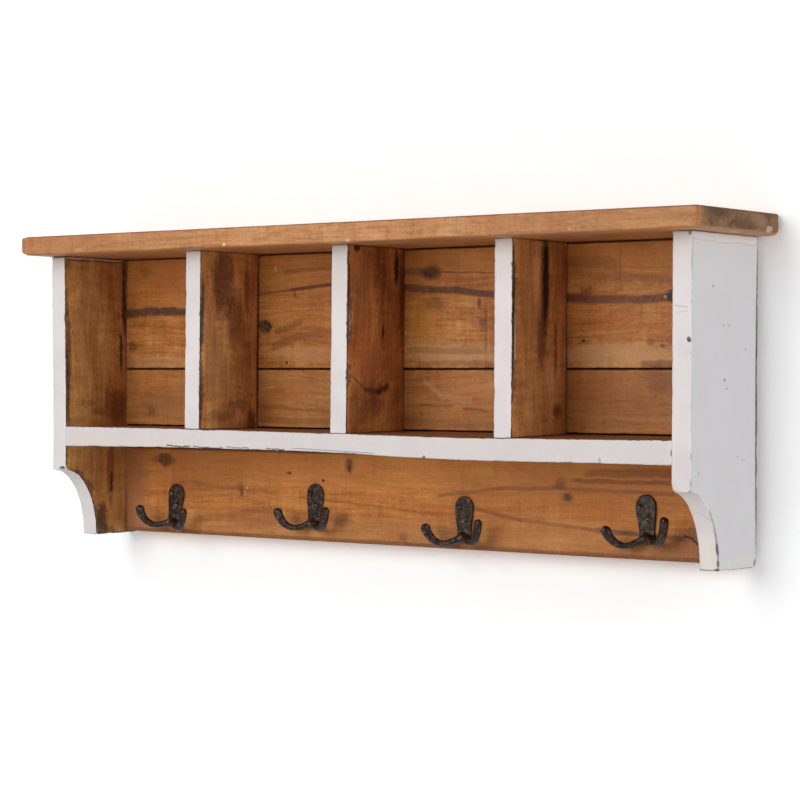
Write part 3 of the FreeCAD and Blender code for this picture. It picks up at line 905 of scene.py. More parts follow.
def plank_material(name, seed, palette, marks, knots, saw, relief=0.22, rough=0.46):
    """Planed timber with saw marks of this strength in patches, and darker arrises: wear, and painted shade
    in the gaps between the boards.
    """
    sh = Shader(name)
    colour, height = wood(sh, "x", seed, palette, knots)
    gate = facing_front(PLANK_FRONT)(sh)
    wobble = sh.times(sh.noise((50, 50, 9), seed + 40, 2.0), 9.0)
    teeth = sh.step(0.1, 0.9, sh.math("SINE", sh.times(sh.add(sh.x, wobble), 2 * math.pi / SAW_PITCH)))
    patch = sh.step(0.52, 0.64, sh.noise((60, 60, 8), seed + 41, 3.0, 0.6))
    colour = sh.lay(colour, (110, 68, 36), teeth, patch, gate, saw)
    colour = marked(sh, colour, gate, "xz", marks, seed + 42)
    # Darker arrises: wear, and painted shade in the gaps between the boards
    colour = sh.lay(colour, (74, 42, 26), sh.step(1.6, 0.2, uneven_edge(sh, 6, seed + 45, 3.0, 0.6)), 0.6)
    dots = sh.step(0.82, 0.84, sh.noise(3.4, seed + 46, 1.0))
    colour = sh.lay(colour, (224, 190, 150), dots, 0.7)
    shine = sh.scaled(sh.noise((40, 12, 12), seed + 47, 2.0), 0.16, rough - 0.08)
    return sh.finish(colour, shine, height, relief)


UPPER_MARKS_AND_PAINTED_SHADING = (
    # Painted light: a lighter band along the plank's top, under the shelf's shade
    Spot(0, 350, 560, 26, 0.5, 1.2, (226, 150, 76), 0.4),
    Spot(-150, 233, 62, 10, 1.4, 0.9, TAN, 0.34),
    Spot(84, 232, 76, 14, 1.6, 0.9, TAN, 0.58),
    Spot(310, 231, 92, 14, 1.6, 0.9, TAN, 0.60),
    Spot(-400, 225, 60, 9, 1.2, 0.9, TAN, 0.34),
    # The wood's own warmer tone, and painted light: the next two patches lighten the upper parts of the
    # first and last cubbies under the shelf's shade
    Spot(-390, 320, 70, 30, 0.9, 1.3, (208, 130, 64), 0.35),
    Spot(320, 340, 100, 20, 0.9, 1.3, (220, 142, 66), 0.35),
    # Painted shade: a warmer, darker tint on the right part, against the fill lamp's light there
    Spot(330, 280, 110, 34, 0.9, 1.4, (186, 108, 42), 0.30),
    Spot(-150, 300, 80, 40, 0.9, 1.4, (170, 98, 44), 0.30),
    Spot(36, 272, 26, 18, 1.0, 1.2, (196, 132, 50), 0.45),
    Band(-460, 288, -395, 290.5, 11.0, 10.0, (78, 54, 43), 0.88),
    Band(-400, 290.5, -325, 287.5, 10.0, 10.0, (76, 52, 42), 0.88),
    Spot(-419, 343, 8, 7, 1.8, 1.4, OLIVE, 0.35),
    Spot(-442, 244, 10, 5, 2.4, 0.9, (84, 42, 26), 0.6),
    Band(-226, 309, -160, 314, 1.8, 2.0, UMBER, 0.6),
    Band(-170, 313, -96, 319.5, 4.2, 2.0, (92, 52, 34), 0.85),
    Band(-180, 335, -100, 340, 5.0, 6.0, UMBER, 0.35),
    Spot(-162, 308, 2.2, 4, 0.8, 0.5, UMBER, 0.6),
    Band(-200, 243, -150, 257, 11.0, 5.0, (120, 72, 38), 0.6),
    Band(-152, 256, -98, 261, 9.0, 6.0, (128, 80, 44), 0.45),
    Band(-194, 261, -150, 274, 8.0, 5.0, (116, 68, 36), 0.5),
    Spot(-213, 268, 12, 7, 2.4, 0.7, (50, 36, 28), 0.85),
    Band(-222, 275, -206, 266, 1.6, 1.0, (132, 106, 62), 0.8),
    Band(-222, 270, -208, 261, 1.6, 1.0, (120, 96, 58), 0.8),
    Spot(-194, 340, 1.8, 3.4, 0.8, 0.6, (226, 186, 136), 0.7),
    Spot(-175, 223, 1.8, 2, 0.5, 0.4, GRIME, 0.9),
    Band(10, 332, 40, 331, 9.0, 6.0, (112, 84, 70), 0.6),
    Spot(51, 330, 14, 8, 0.9, 0.9, (74, 40, 32), 0.85),
    Band(60, 330, 146, 327, 2.4, 4.0, UMBER, 0.5),
    Band(8, 313, 52, 309, 8.5, 2.0, (104, 66, 52), 0.85),
    Band(48, 309.3, 90, 308, 8.0, 1.5, PURPLE, 0.9),
    Band(86, 308, 148, 300.5, 8.0, 1.5, PURPLE, 0.9),
    Spot(57, 293, 15, 8, 1.2, 1.1, OLIVE, 0.5),
    Spot(121, 293, 2.6, 6, 1.0, 0.6, UMBER, 0.7),
    Spot(127, 270, 6, 4, 1.2, 0.8, UMBER, 0.5),
    Spot(131, 258, 2.2, 36, 1.8, 1.1, UMBER, 0.38),
    Band(16, 238, 125, 236, 7.0, 9.0, (130, 82, 42), 0.4),
    Band(30, 222, 140, 222, 6.0, 8.0, (124, 78, 42), 0.45),
    Band(232, 297, 272, 294, 10.0, 3.0, (100, 58, 43), 0.85),
    Band(268, 294, 350, 292.5, 9.5, 3.0, (110, 66, 47), 0.82),
    Band(346, 292.5, 392, 295, 9.0, 3.0, (104, 60, 45), 0.85),
    Spot(388, 296, 14, 7, 1.0, 0.7, (48, 30, 26), 0.7),
    Spot(375, 295, 2.0, 1.8, 0.2, 0.4, (180, 160, 150), 0.9),
    Spot(273, 304, 9, 4.5, 2.4, 1.0, RUST, 0.6),
    Spot(316, 330, 2.4, 22, 1.6, 1.1, (120, 74, 40), 0.28),
    Spot(344, 279, 1.8, 9, 0.8, 0.8, (124, 76, 42), 0.35),
    Band(246, 337, 312, 333, 12.0, 14.0, OLIVE, 0.34),
    Band(285, 319, 384, 314, 8.0, 7.0, (126, 80, 42), 0.4),
    Spot(357, 245, 6, 3, 3.6, 0.9, UMBER, 0.45),
    Spot(372, 241, 3, 2, 2.0, 0.6, UMBER, 0.65),
    Spot(267, 247, 2.4, 2, 0.6, 0.4, UMBER, 0.85),
    Band(344, 221, 390, 220, 9.0, 7.0, (98, 64, 46), 0.5),
)
LOWER_MARKS_AND_PAINTED_SHADE = (
    Spot(-408, 160, 7, 7, 2.4, 1.1, (104, 66, 38), 0.55),
    Spot(-385, 170, 44, 18, 1.0, 1.2, (128, 84, 44), 0.45),
    Band(-220, 168, -100, 163, 4.0, 6.0, (120, 76, 42), 0.5),
    Band(-220, 152, -100, 150, 8.0, 5.0, (122, 78, 42), 0.5),
    Band(40, 201, 66, 184, 8.0, 9.0, TAN, 0.32),
    Band(62, 184, 112, 178, 8.0, 9.0, TAN, 0.32),
    Band(38, 172, 84, 171.5, 3.0, 6.0, UMBER, 0.4),
    Band(98, 170, 134, 166, 3.0, 7.0, UMBER, 0.45),
    Band(10, 152, 150, 150, 9.0, 6.0, (126, 84, 46), 0.4),
    Spot(372, 202, 22, 14, 1.2, 1.2, (106, 66, 48), 0.5),
    # Painted shade: a warmer, darker tint on the right part, against the fill lamp's light there
    Spot(310, 186, 90, 26, 1.0, 1.4, (150, 82, 36), 0.45),
    Band(240, 163, 390, 158, 5.0, 6.0, (176, 126, 78), 0.45),
)
RAIL_MARKS_AND_PAINTED_SHADING = (
    # Painted light: a lighter band along the rail's top, where the floor above shades it
    Spot(110, 112, 560, 45, 0.3, 0.8, (245, 160, 84), 0.4),
    # Painted shade: a darker band along the rail's bottom, where the lamps light it more
    Spot(0, 3, 1500, 34, 0.3, 0.9, (150, 109, 74), 0.4),
    Spot(-440, 50, 26, 66, 0.8, 1.0, (158, 108, 80), 0.65),
    Spot(-330, 84, 130, 34, 0.8, 1.4, (140, 76, 36), 0.42),
    Spot(190, 62, 90, 40, 0.8, 1.4, (150, 86, 40), 0.34),
    # Painted shade: a warmer, darker tint on the rail's right part, against the fill lamp's light there
    Spot(360, 70, 110, 50, 0.8, 1.4, (176, 102, 40), 0.34),
    Spot(404, 17, 60, 14, 1.4, 0.9, (122, 66, 40), 0.45),
    Spot(-380, 97.5, 14, 8.5, 1.2, 0.6, (104, 58, 40), 0.85),
    Spot(-396, 97, 12, 5, 1.4, 0.8, (116, 66, 42), 0.5),
    Band(-330, 68, -190, 60, 5.0, 9.0, (130, 78, 40), 0.45),
    Band(-330, 22, -190, 42, 8.0, 9.0, (132, 82, 44), 0.4),
    Spot(-249, 63, 3, 9, 2.4, 0.8, (92, 52, 30), 0.65),
    Spot(-254, 66, 2.2, 6, 2.0, 0.9, (106, 60, 34), 0.5),
    Spot(-240, 65, 1.4, 1.2, 0.6, 0.6, BONE, 0.7),
    Spot(-74, 97, 6, 9, 2.2, 1.0, (100, 58, 34), 0.65),
    Spot(-74, 95, 2.4, 5, 1.6, 0.8, (76, 42, 27), 0.65),
    Spot(-170, 86, 4, 1.8, 0.8, 0.5, UMBER, 0.75),
    Spot(-115, 78, 1.9, 2, 0.3, 0.4, (34, 24, 20), 0.95),
    Spot(-86, 31, 15, 7, 1.8, 1.2, (120, 80, 44), 0.6),
    Band(-152, 57, 36, 45, 3.0, 4.0, (140, 84, 42), 0.5),
    Band(60, 65, 154, 76.5, 4.4, 6.0, (128, 76, 40), 0.5),
    Band(150, 76.5, 240, 79.5, 4.8, 6.0, (122, 72, 38), 0.5),
    Band(236, 79.5, 392, 77, 4.4, 6.0, (130, 76, 40), 0.5),
    Band(104, 53, 184, 41, 5.0, 5.0, (116, 68, 36), 0.55),
    Band(180, 41.5, 292, 33, 4.4, 5.0, (118, 70, 38), 0.5),
    Band(288, 33.5, 404, 28.5, 5.5, 4.0, (98, 64, 46), 0.7),
    Band(252, 88.5, 390, 89, 5.0, 6.0, (116, 62, 32), 0.55),
    Band(270, 98, 392, 100, 9.0, 8.0, (128, 70, 36), 0.5),
    Spot(236, 84, 8, 7, 2.0, 1.1, (114, 70, 38), 0.6),
    Spot(246, 69.5, 8, 5, 2.4, 1.0, (104, 60, 36), 0.7),
    Spot(247, 69, 3.5, 2.6, 1.8, 0.8, (80, 46, 28), 0.7),
    Band(400, 32, 412, 29, 3.0, 3.0, (52, 32, 24), 0.9),
    Band(410, 30, 420, 22, 3.4, 3.0, (44, 28, 22), 0.95),
    Spot(416, 36, 10, 8, 1.2, 0.9, (106, 66, 44), 0.6),
    Spot(10, 14, 5, 6, 2.2, 1.0, (114, 64, 34), 0.45),
    Band(-460, 5, 460, 5, 6.0, 3.0, (110, 60, 34), 0.62),
    Band(-460, 113, 460, 113, 5.0, 3.0, (112, 68, 38), 0.5),
)
LEFT_DIVIDER_MARKS = (
    Spot(-92, 322, 20, 44, 0.9, 0.9, (92, 44, 24), 0.75),
    Spot(-70, 276, 16, 34, 1.0, 0.9, (98, 50, 28), 0.6),
    Spot(-48, 310, 5, 30, 1.4, 0.8, (96, 54, 32), 0.6),
    Spot(-116, 250, 10, 60, 1.0, 1.0, (176, 124, 84), 0.45),
    Spot(-96, 205, 22, 40, 1.0, 1.0, (166, 112, 72), 0.4),
    Spot(-60, 200, 16, 30, 1.2, 1.0, (164, 106, 54), 0.4),
    Spot(-62, 170, 18, 7, 2.2, 1.1, (92, 52, 30), 0.45),
    Spot(-94, 156, 24, 8, 2.2, 1.1, (88, 52, 32), 0.45),
    Spot(-36, 150, 8, 14, 2.0, 1.0, (54, 32, 22), 0.65),
    Spot(-129, 280, 3.4, 44, 2.0, 0.8, (62, 47, 42), 0.75),
    Spot(-130, 172, 2.6, 30, 2.0, 0.8, (44, 35, 33), 0.75),
    Spot(-127, 262, 1.6, 20, 2.4, 0.5, BONE, 0.5),
    Spot(-26, 250, 2.4, 120, 0.5, 0.7, (44, 26, 20), 0.75),
)
CENTRE_DIVIDER_MARKS = (
    Spot(-66, 258, 2.2, 9, 0.6, 0.5, (54, 24, 16), 0.85),
    Spot(-41, 336, 4, 20, 0.9, 0.6, (40, 20, 16), 0.9),
    Spot(-29, 300, 6, 50, 1.0, 0.9, (78, 34, 20), 0.7),
    Spot(-116, 356, 6, 5, 0.9, 0.4, (28, 20, 18), 0.9),
    Spot(-106, 310, 14, 44, 1.0, 1.0, (150, 98, 62), 0.4),
    Spot(-84, 222, 24, 22, 1.0, 1.0, (166, 92, 58), 0.5),
    Band(-122, 206, -96, 190, 4.0, 8.0, (84, 46, 30), 0.5),
    Band(-100, 190, -70, 187, 6.0, 8.0, (72, 38, 26), 0.7),
    Band(-78, 187, -54, 196, 8.0, 8.0, (56, 31, 22), 0.8),
    Spot(-80, 172, 18, 12, 1.0, 1.0, (110, 66, 52), 0.55),
    Spot(-114, 168, 12, 30, 1.0, 1.0, (112, 68, 36), 0.5),
    Spot(-28, 200, 5, 26, 1.0, 0.8, (172, 118, 74), 0.5),
    Spot(-130, 316, 2.0, 26, 1.6, 0.7, GRIME, 0.75),
    Spot(-128, 268, 1.6, 16, 2.4, 0.5, BONE, 0.6),
)
RIGHT_DIVIDER_MARKS = (
    Spot(-69, 318, 9, 60, 0.6, 0.9, (70, 40, 28), 0.8),
    Spot(-68, 312, 5, 52, 0.8, 0.5, (28, 19, 18), 0.95),
    Spot(-75, 246, 8, 30, 0.8, 0.9, (72, 42, 28), 0.7),
    Spot(-106, 300, 13, 60, 1.0, 1.0, (168, 110, 66), 0.35),
    Spot(-48, 236, 3.2, 34, 2.6, 0.9, (62, 38, 27), 0.55),
    Spot(-47, 198, 3, 16, 2.2, 0.5, (196, 150, 104), 0.7),
    Spot(-44, 168, 9, 8, 1.2, 0.8, (92, 44, 26), 0.7),
    Spot(-53, 352, 7, 6, 1.0, 0.8, (150, 104, 84), 0.5),
    Spot(-25, 250, 1.8, 110, 0.6, 0.6, (56, 32, 22), 0.75),
    Spot(-130, 278, 2.4, 66, 1.0, 0.6, (30, 25, 27), 0.9),
    Spot(-127.5, 240, 1.0, 40, 1.6, 0.6, BONE, 0.45),
)
LEFT_SIDE_MARKS = (
    Spot(-70, 60, 60, 55, 0.6, 0.8, (164, 98, 48), 0.4),
    Spot(-94, 171, 16, 4, 3.2, 1.2, (92, 56, 30), 0.4),
    Spot(-77, 160, 13, 4, 3.2, 1.2, (84, 50, 28), 0.4),
    Spot(-40, 165, 18, 22, 1.0, 1.1, (104, 62, 30), 0.6),
    Spot(-96, 270, 16, 70, 1.2, 1.2, (140, 96, 54), 0.35),
    Spot(-27, 300, 3.4, 56, 1.8, 0.5, (52, 34, 26), 0.8),
    Spot(-30, 246, 6, 26, 1.8, 0.5, (190, 140, 88), 0.75),
    Spot(-33, 240, 3, 24, 2.2, 0.4, (60, 38, 26), 0.8),
    Spot(-53, 84, 7, 40, 0.9, 0.8, (112, 54, 20), 0.7),
    Spot(-51, 68, 2.2, 14, 1.2, 0.5, (54, 28, 16), 0.85),
    Spot(-68, 20, 9, 20, 2.6, 0.6, (46, 36, 30), 0.8),
    Spot(-128, 236, 4.6, 52, 1.8, 0.8, (74, 56, 47), 0.65),
    Spot(-130, 180, 3.0, 44, 1.6, 0.6, GRIME, 0.7),
    Band(-130, 357.4, -28, 356.6, 1.8, 4.0, BONE, 0.75),
    Band(-132, 354.6, -26, 354.2, 1.8, 4.0, GRIME, 0.6),
)
FLOOR_MARKS = (
    Band(-490, 127, 490, 127, 400.0, 0.0, (207, 200, 199), 0.5),
    Band(-440, 124.5, -330, 124, 9.0, 4.0, (224, 209, 192), 0.5),
    Band(-335, 124, -240, 121.5, 4.5, 3.0, (222, 206, 186), 0.5),
    Band(-275, 119.6, -236, 119.4, 1.7, 8.0, (62, 56, 54), 0.8),
    Band(-230, 119.6, -182, 119.2, 1.5, 9.0, (56, 50, 48), 0.8),
    Band(-176, 119.8, -140, 119.6, 1.2, 9.0, (78, 70, 68), 0.7),
    Band(-112, 119.6, -84, 119.2, 1.5, 8.0, (58, 52, 50), 0.8),
    Band(-70, 120.6, 52, 117.4, 1.2, 3.0, (120, 108, 102), 0.6),
    Spot(125, 114.6, 2.2, 1.6, 1.0, 0.5, (90, 80, 76), 0.8),
    Spot(362, 116, 2, 4, 1.0, 0.5, (150, 140, 136), 0.6),
    Spot(451.5, 126, 1.0, 4, 1.0, 0.4, (92, 86, 82), 0.8),
)
RIGHT_FRONT_MARKS = (
    Spot(472, 245, 2.4, 3.0, 0.9, 0.4, (66, 62, 62), 0.9),
    Band(455, 281, 470, 279, 1.8, 3.0, (176, 166, 160), 0.5),
    Band(457, 273, 470, 275, 1.4, 3.0, (182, 172, 168), 0.45),
    Spot(475.6, 330, 1.6, 24, 0.8, 0.4, (92, 86, 84), 0.85),
    Spot(476.0, 262, 1.3, 22, 1.0, 0.5, (120, 114, 112), 0.7),
    Spot(476.0, 180, 1.4, 34, 1.0, 0.5, (116, 110, 108), 0.75),
    Spot(474, 357, 3, 3, 1.2, 0.5, (96, 84, 76), 0.8),
    Spot(475.1, 122, 1.2, 4, 0.8, 0.4, (62, 56, 54), 0.95),
    Spot(475.1, 95, 1.3, 5, 0.8, 0.4, (58, 52, 50), 0.95),
    Spot(474.2, 86.5, 1.6, 1.4, 0.8, 0.4, (70, 62, 58), 0.85),
)
RIGHT_COVE_MARKS = (
    Spot(465, 20, 10, 24, 0.8, 1.0, (231, 224, 214), 0.5),
    Spot(456, 68, 2.4, 9, 1.0, 0.8, (224, 208, 180), 0.6),
    Band(461, 64, 475.5, 54, 1.3, 9.0, (172, 166, 164), 0.55),
    Spot(475.6, 34, 1.1, 26, 1.4, 0.6, (128, 116, 110), 0.6),
    Spot(475.4, 24, 1.5, 6, 1.2, 0.5, (84, 76, 72), 0.85),
    Spot(475.2, 8, 1.3, 4, 1.2, 0.5, (90, 80, 76), 0.8),
    Spot(475, 0.5, 4.5, 2.6, 1.2, 0.5, (58, 48, 42), 0.9),
    Spot(462, 0, 10, 1.3, 1.6, 0.5, (84, 70, 62), 0.8),
)
RIGHT_OUTER_MARKS_AND_PAINTED_SHADE = (
    Band(-160, 180, 30, 180, 800.0, 0.0, (220, 220, 223), 0.75),
    Spot(-92, 302, 1.8, 1.2, 0.4, 0.4, (150, 146, 148), 0.9),
    Spot(-71, 261, 1.6, 1.1, 0.4, 0.4, (160, 156, 158), 0.8),
    Spot(-60, 261, 1.6, 1.1, 0.4, 0.4, (166, 162, 164), 0.8),
    Spot(-68, 203, 2.2, 1.6, 0.6, 0.4, (140, 136, 136), 0.9),
    Spot(-64, 194, 1.6, 1.2, 0.4, 0.4, (150, 146, 146), 0.9),
    Spot(-118, 105, 1.3, 1.0, 0.5, 0.4, (146, 140, 140), 0.8),
    Spot(-41, 121, 1.3, 0.9, 0.5, 0.4, (156, 150, 150), 0.7),
    Spot(-33, 117, 1.2, 0.9, 0.5, 0.4, (160, 154, 154), 0.7),
    Spot(-28, 117.5, 1.2, 0.9, 0.5, 0.4, (156, 150, 150), 0.7),
    Spot(-38, 6, 40, 7, 0.8, 1.0, (232, 226, 220), 0.5),
    Spot(-24, 0, 22, 1.2, 2.4, 0.5, (118, 106, 100), 0.7),
    Spot(-4, 5, 4, 5, 1.2, 0.6, (112, 100, 94), 0.6),
    Spot(-26, 236, 1.6, 1.0, 0.4, 0.4, (160, 156, 158), 0.8),
    Band(-130, 355.5, -4, 354.5, 9.0, 7.0, (236, 231, 228), 0.6),
    Band(-132, 350, -4, 349, 1.8, 9.0, (176, 170, 168), 0.3),
    # A dark line along the back arris: partly bare timber, partly painted shade of the gap at the wall
    Spot(-1, 186, 4.2, 176, 0.3, 0.4, (94, 79, 73), 0.92),
)
LEFT_FRONT_MARKS = (
    Spot(-458, 88, 5, 1.6, 2.6, 0.6, GRIME, 0.85),
    Band(-476, 357.6, -455, 357.6, 2.2, 2.0, (88, 76, 70), 0.8),
    Spot(-454, 280, 2.4, 6, 1.6, 0.4, (70, 62, 58), 0.8),
)
TOP_MARKS_AND_PAINTED_SHADE = (
    Spot(-398, 363.5, 9, 2.6, 0.8, 0.5, (214, 164, 128), 0.9),
    Spot(-152, 362.5, 1.7, 1.3, 0.2, 0.3, (244, 236, 226), 0.98),
    Spot(38, 361, 2.4, 1.0, 0.8, 0.4, (232, 212, 190), 0.9),
    Spot(343, 363, 2.2, 1.2, 0.8, 0.4, (226, 180, 150), 0.8),
    Band(452, 364.5, 494, 364.5, 4.0, 5.0, (216, 166, 112), 0.25),
    # Painted shade: the front face made darker towards both ends, where the lamps light it more
    Spot(-390, 371, 150, 24, 0.8, 1.4, (158, 98, 62), 0.45),
    Spot(380, 371, 150, 24, 0.8, 1.4, (160, 106, 62), 0.34),
    Band(-340, 371, -60, 373, 2.4, 9.0, (156, 102, 62), 0.25),
    Band(120, 374, 420, 372, 2.4, 9.0, (156, 104, 62), 0.25),
)
END_MARKS = (
    Spot(-128, 377, 26, 7, 1.0, 1.2, (82, 60, 43), 0.65),
    Spot(-156, 371, 9, 12, 0.8, 1.0, (140, 108, 66), 0.7),
    Spot(-42, 374, 14, 7, 1.0, 0.9, (164, 126, 100), 0.6),
    Spot(-70, 366, 20, 6, 1.2, 1.0, (100, 74, 54), 0.6),
    Spot(-19, 364, 9, 3.6, 1.8, 0.6, (214, 188, 158), 0.7),
    Spot(-8, 375, 10, 8, 0.8, 1.0, (132, 100, 62), 0.6),
)


def top_material():
    """The shelf's timber, with end grain on its two ends."""
    sh = Shader("top_board_timber")
    colour, height = wood(sh, "x", 3, TOP)
    colour = marked(sh, colour, facing_front(TOP_FRONT)(sh), "xz", TOP_MARKS_AND_PAINTED_SHADE, 391)
    uneven = sh.add(sh.y, sh.times(sh.noise(9, 393, 3.0), 8.0), -4.0)
    behind_corner = sh.step(TOP_FRONT, TOP_FRONT + 13.0, uneven)
    on_end = sh.step(TOP_HALF - 8.0, TOP_HALF - 1.0, sh.math("ABSOLUTE", sh.x))
    mottle = sh.weighed((sh.noise((5, 16, 9), 394, 4.0, 0.65), 0.6), (sh.noise((2, 3, 2), 395, 3.0), 0.4))
    grain = sh.ramp(mottle, (0.38, (98, 70, 48)), (0.50, (132, 97, 69)), (0.62, (160, 121, 88)))
    grain = marked(sh, grain, facing_right(TOP_HALF)(sh), "yz", END_MARKS, 396)
    # Painted highlight: a lighter strip along the ends' lower arris
    grain = sh.lay(grain, (188, 148, 110), sh.step(TOP_BOTTOM + 4.5, TOP_BOTTOM + 1.5, sh.z), 0.6)
    colour = sh.lay(colour, grain, on_end, behind_corner)
    rub = uneven_edge(sh, 7, 399, 4.0, 0.65)
    near_top = sh.step(TOP_BOTTOM + 17.0, TOP_BOTTOM + 21.0, sh.z)
    colour = sh.lay(colour, (104, 66, 42), sh.step(2.4, 0.6, rub), near_top, 0.6)
    colour = sh.lay(colour, (132, 88, 58), sh.step(1.2, 0.0, rub), 0.35)
    white = sh.step(0.82, 0.84, sh.noise(3.6, 397, 1.0))
    colour = sh.lay(colour, (232, 222, 208), white, 0.7)
    shine = sh.scaled(sh.noise((60, 14, 14), 398, 2.0), 0.18, 0.38)
    return sh.finish(colour, shine, height, 0.2)


def metal(name, palette, seed, metallic, rough, grain, relief):
    """Metal with blotches of tone and a skin of this grain."""
    dark, middle, light = palette
    sh = Shader(name)
    blotch = sh.noise(grain * 4, seed, 3.0, 0.6)
    skin = sh.noise(grain, seed + 1, 3.0, 0.65)
    colour = sh.ramp(blotch, (0.32, dark), (0.5, middle), (0.68, light))
    colour = sh.lay(colour, light, sh.step(0.52, 0.68, skin), 0.6)
    colour = sh.lay(colour, dark, sh.step(0.46, 0.34, skin), 0.7)
    sh.skin.inputs["Metallic"].default_value = metallic
    return sh.finish(colour, sh.scaled(skin, 0.3, rough - 0.15), skin, relief, 0.5)


def dowel_material():
    sh = Shader("dowel_beech")
    colour, height = wood(sh, "x", 9, BEECH)
    return sh.finish(colour, sh.scaled(height, 0.05, 0.6), height, 0.1)


def dress(piece, material):
    piece.data.materials.append(material)


# Knots, as a centre and two radii
UPPER_KNOTS = (((-212, 268), (16, 13)), ((357, 246), (12, 8)), ((55, 330), (20, 12)))
LOWER_KNOTS = (((-408, 161), (16, 13)),)
RAIL_KNOTS = (((-249, 64), (15, 14)), ((-74, 96), (12, 13)), ((246, 72), (18, 14)), ((-86, 31), (20, 12)))
LEFT_DIVIDER_KNOTS = (((-88, 300), (14, 46)), ((-62, 200), (12, 26)))
CENTRE_DIVIDER_KNOTS = (((-66, 262), (22, 48)), ((-78, 190), (20, 22)))
RIGHT_DIVIDER_KNOTS = (((-69, 290), (12, 90)),)

natural_boards = {
    "top_board": top_material(),
    "upper_back_plank": plank_material("upper_plank_timber", 61, PLANK, UPPER_MARKS_AND_PAINTED_SHADING, UPPER_KNOTS, saw=0.28),
    "lower_back_plank": plank_material("lower_plank_timber", 71, LOWER, LOWER_MARKS_AND_PAINTED_SHADE, LOWER_KNOTS, saw=0.10),
    "hook_rail": plank_material(
        "hook_rail_timber", 81, RAIL, RAIL_MARKS_AND_PAINTED_SHADING, RAIL_KNOTS, saw=0.12, relief=0.16, rough=0.42
    ),
}
for node, material in natural_boards.items():
    dress(pieces[node], material)

# Each divider's seed, palette, marks and knots
DIVIDERS = {
    "left_divider": (101, SECOND, LEFT_DIVIDER_MARKS, LEFT_DIVIDER_KNOTS),
    "centre_divider": (131, REDDISH, CENTRE_DIVIDER_MARKS, CENTRE_DIVIDER_KNOTS),
    "right_divider": (161, UPRIGHT, RIGHT_DIVIDER_MARKS, RIGHT_DIVIDER_KNOTS),
}
painted_boards = {}
for node, (seed, palette, marks, knots) in DIVIDERS.items():
    right_face = facing_right(node_box(node)[1][0])
    painted_boards[node] = painted_board(
        f"{node}_finish", "z", seed, palette, behind_front, 6.0,
        timber_marks=((right_face, "yz", marks),), knots=knots,
    )
front_face = facing_front(SIDE_FRONT)
left_inner_face = facing_right(-SIDE_INNER - 2.5)
painted_boards["cubby_floor"] = painted_board(
    "cubby_floor_finish", "x", 191, SHADED, behind_front, 3.0, ((front_face, "xz", FLOOR_MARKS),)
)
painted_boards["left_side_panel"] = painted_board(
    "left_side_finish", "z", 221, LEFTMOST, inside_panel, 7.0,
    ((front_face, "xz", LEFT_FRONT_MARKS),), ((left_inner_face, "yz", LEFT_SIDE_MARKS),),
)
painted_boards["right_side_panel"] = painted_board(
    "right_side_finish", "z", 251, UPRIGHT, inside_panel, 7.0,
    (
        (front_face, "xz", RIGHT_FRONT_MARKS),
        (facing_right(SIDE_OUTER), "yz", RIGHT_OUTER_MARKS_AND_PAINTED_SHADE),
        (on_cove, "xz", RIGHT_COVE_MARKS),
    ),
)
for node, material in painted_boards.items():
    dress(pieces[node], material)

IRON = ((17, 11, 9), (38, 25, 19), (104, 77, 62))
DARK_STEEL = ((44, 40, 38), (84, 76, 72), (150, 140, 132))
ZINC = ((150, 152, 154), (176, 178, 180), (198, 200, 202))
iron = metal("cast_iron", IRON, 401, metallic=0.3, rough=0.38, grain=1.3, relief=0.2)
for hook in hooks:
    dress(hook, iron)

# Screws, nails, plates and dowels stay as the CAD meshes
cad_finishes = (
    (
        metal("dark_steel", DARK_STEEL, 411, metallic=0.8, rough=0.32, grain=0.9, relief=0.05),
        ("hook_screws",),
    ),
    (
        metal("zinc_steel", ZINC, 421, metallic=1.0, rough=0.36, grain=1.6, relief=0.04),
        ("hanger_plate_left", "hanger_plate_right", "hanger_screws", "plank_nails"),
    ),
    (dowel_material(), ("top_dowels", "divider_dowels", "floor_dowels", "rail_dowels", "plank_dowels")),
)
for material, nodes in cad_finishes:
    for node in nodes:
        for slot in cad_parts[node].material_slots:
            slot.material = material

# Camera, fitted to the straight edges of the photographed rack. From here on lengths are metres.
AZIMUTH, PITCH, ROLL = 0.6639, 0.0068, 0.0047
CAMERA_SPOT = (1.7760, -2.2884, -0.0994)
lens = bpy.data.cameras.new("camera")
lens.lens = 108.0
lens.sensor_width = 36.0
camera = linked("camera", lens)
pose = Matrix.Translation(CAMERA_SPOT)
for angle, axis in ((AZIMUTH, "Z"), (math.pi / 2 - PITCH, "X"), (ROLL, "Z")):
    pose = pose @ Matrix.Rotation(angle, 4, axis)
camera.matrix_world = pose
bpy.context.scene.camera = camera

# Stage: a white wall seen only from the room, a pale floor and soft light. The wall lets light through
# to the rack's back, so dark strips behind the gaps between the boards keep that light out of the cubbies.
FLOOR_Z, WALL_Y, ROOM = -1.7, 0.005, 30.0
STRIP_Y, STRIP_HALF, STRIP_LAP = 0.0003, 0.0012, 0.008
BACK_BOARDS = ("cubby_floor", "lower_back_plank", "upper_back_plank", "top_board")


def sheet(name, corners, material):
    mesh = bpy.data.meshes.new(name)
    mesh.from_pydata(corners, [], [(0, 1, 2, 3)])
    mesh.materials.append(material)
    piece = linked(name, mesh)
    return piece


def upright_sheet(name, low, high, y, material):
    (x0, z0), (x1, z1) = low, high
    return sheet(name, [(x0, y, z0), (x1, y, z0), (x1, y, z1), (x0, y, z1)], material)


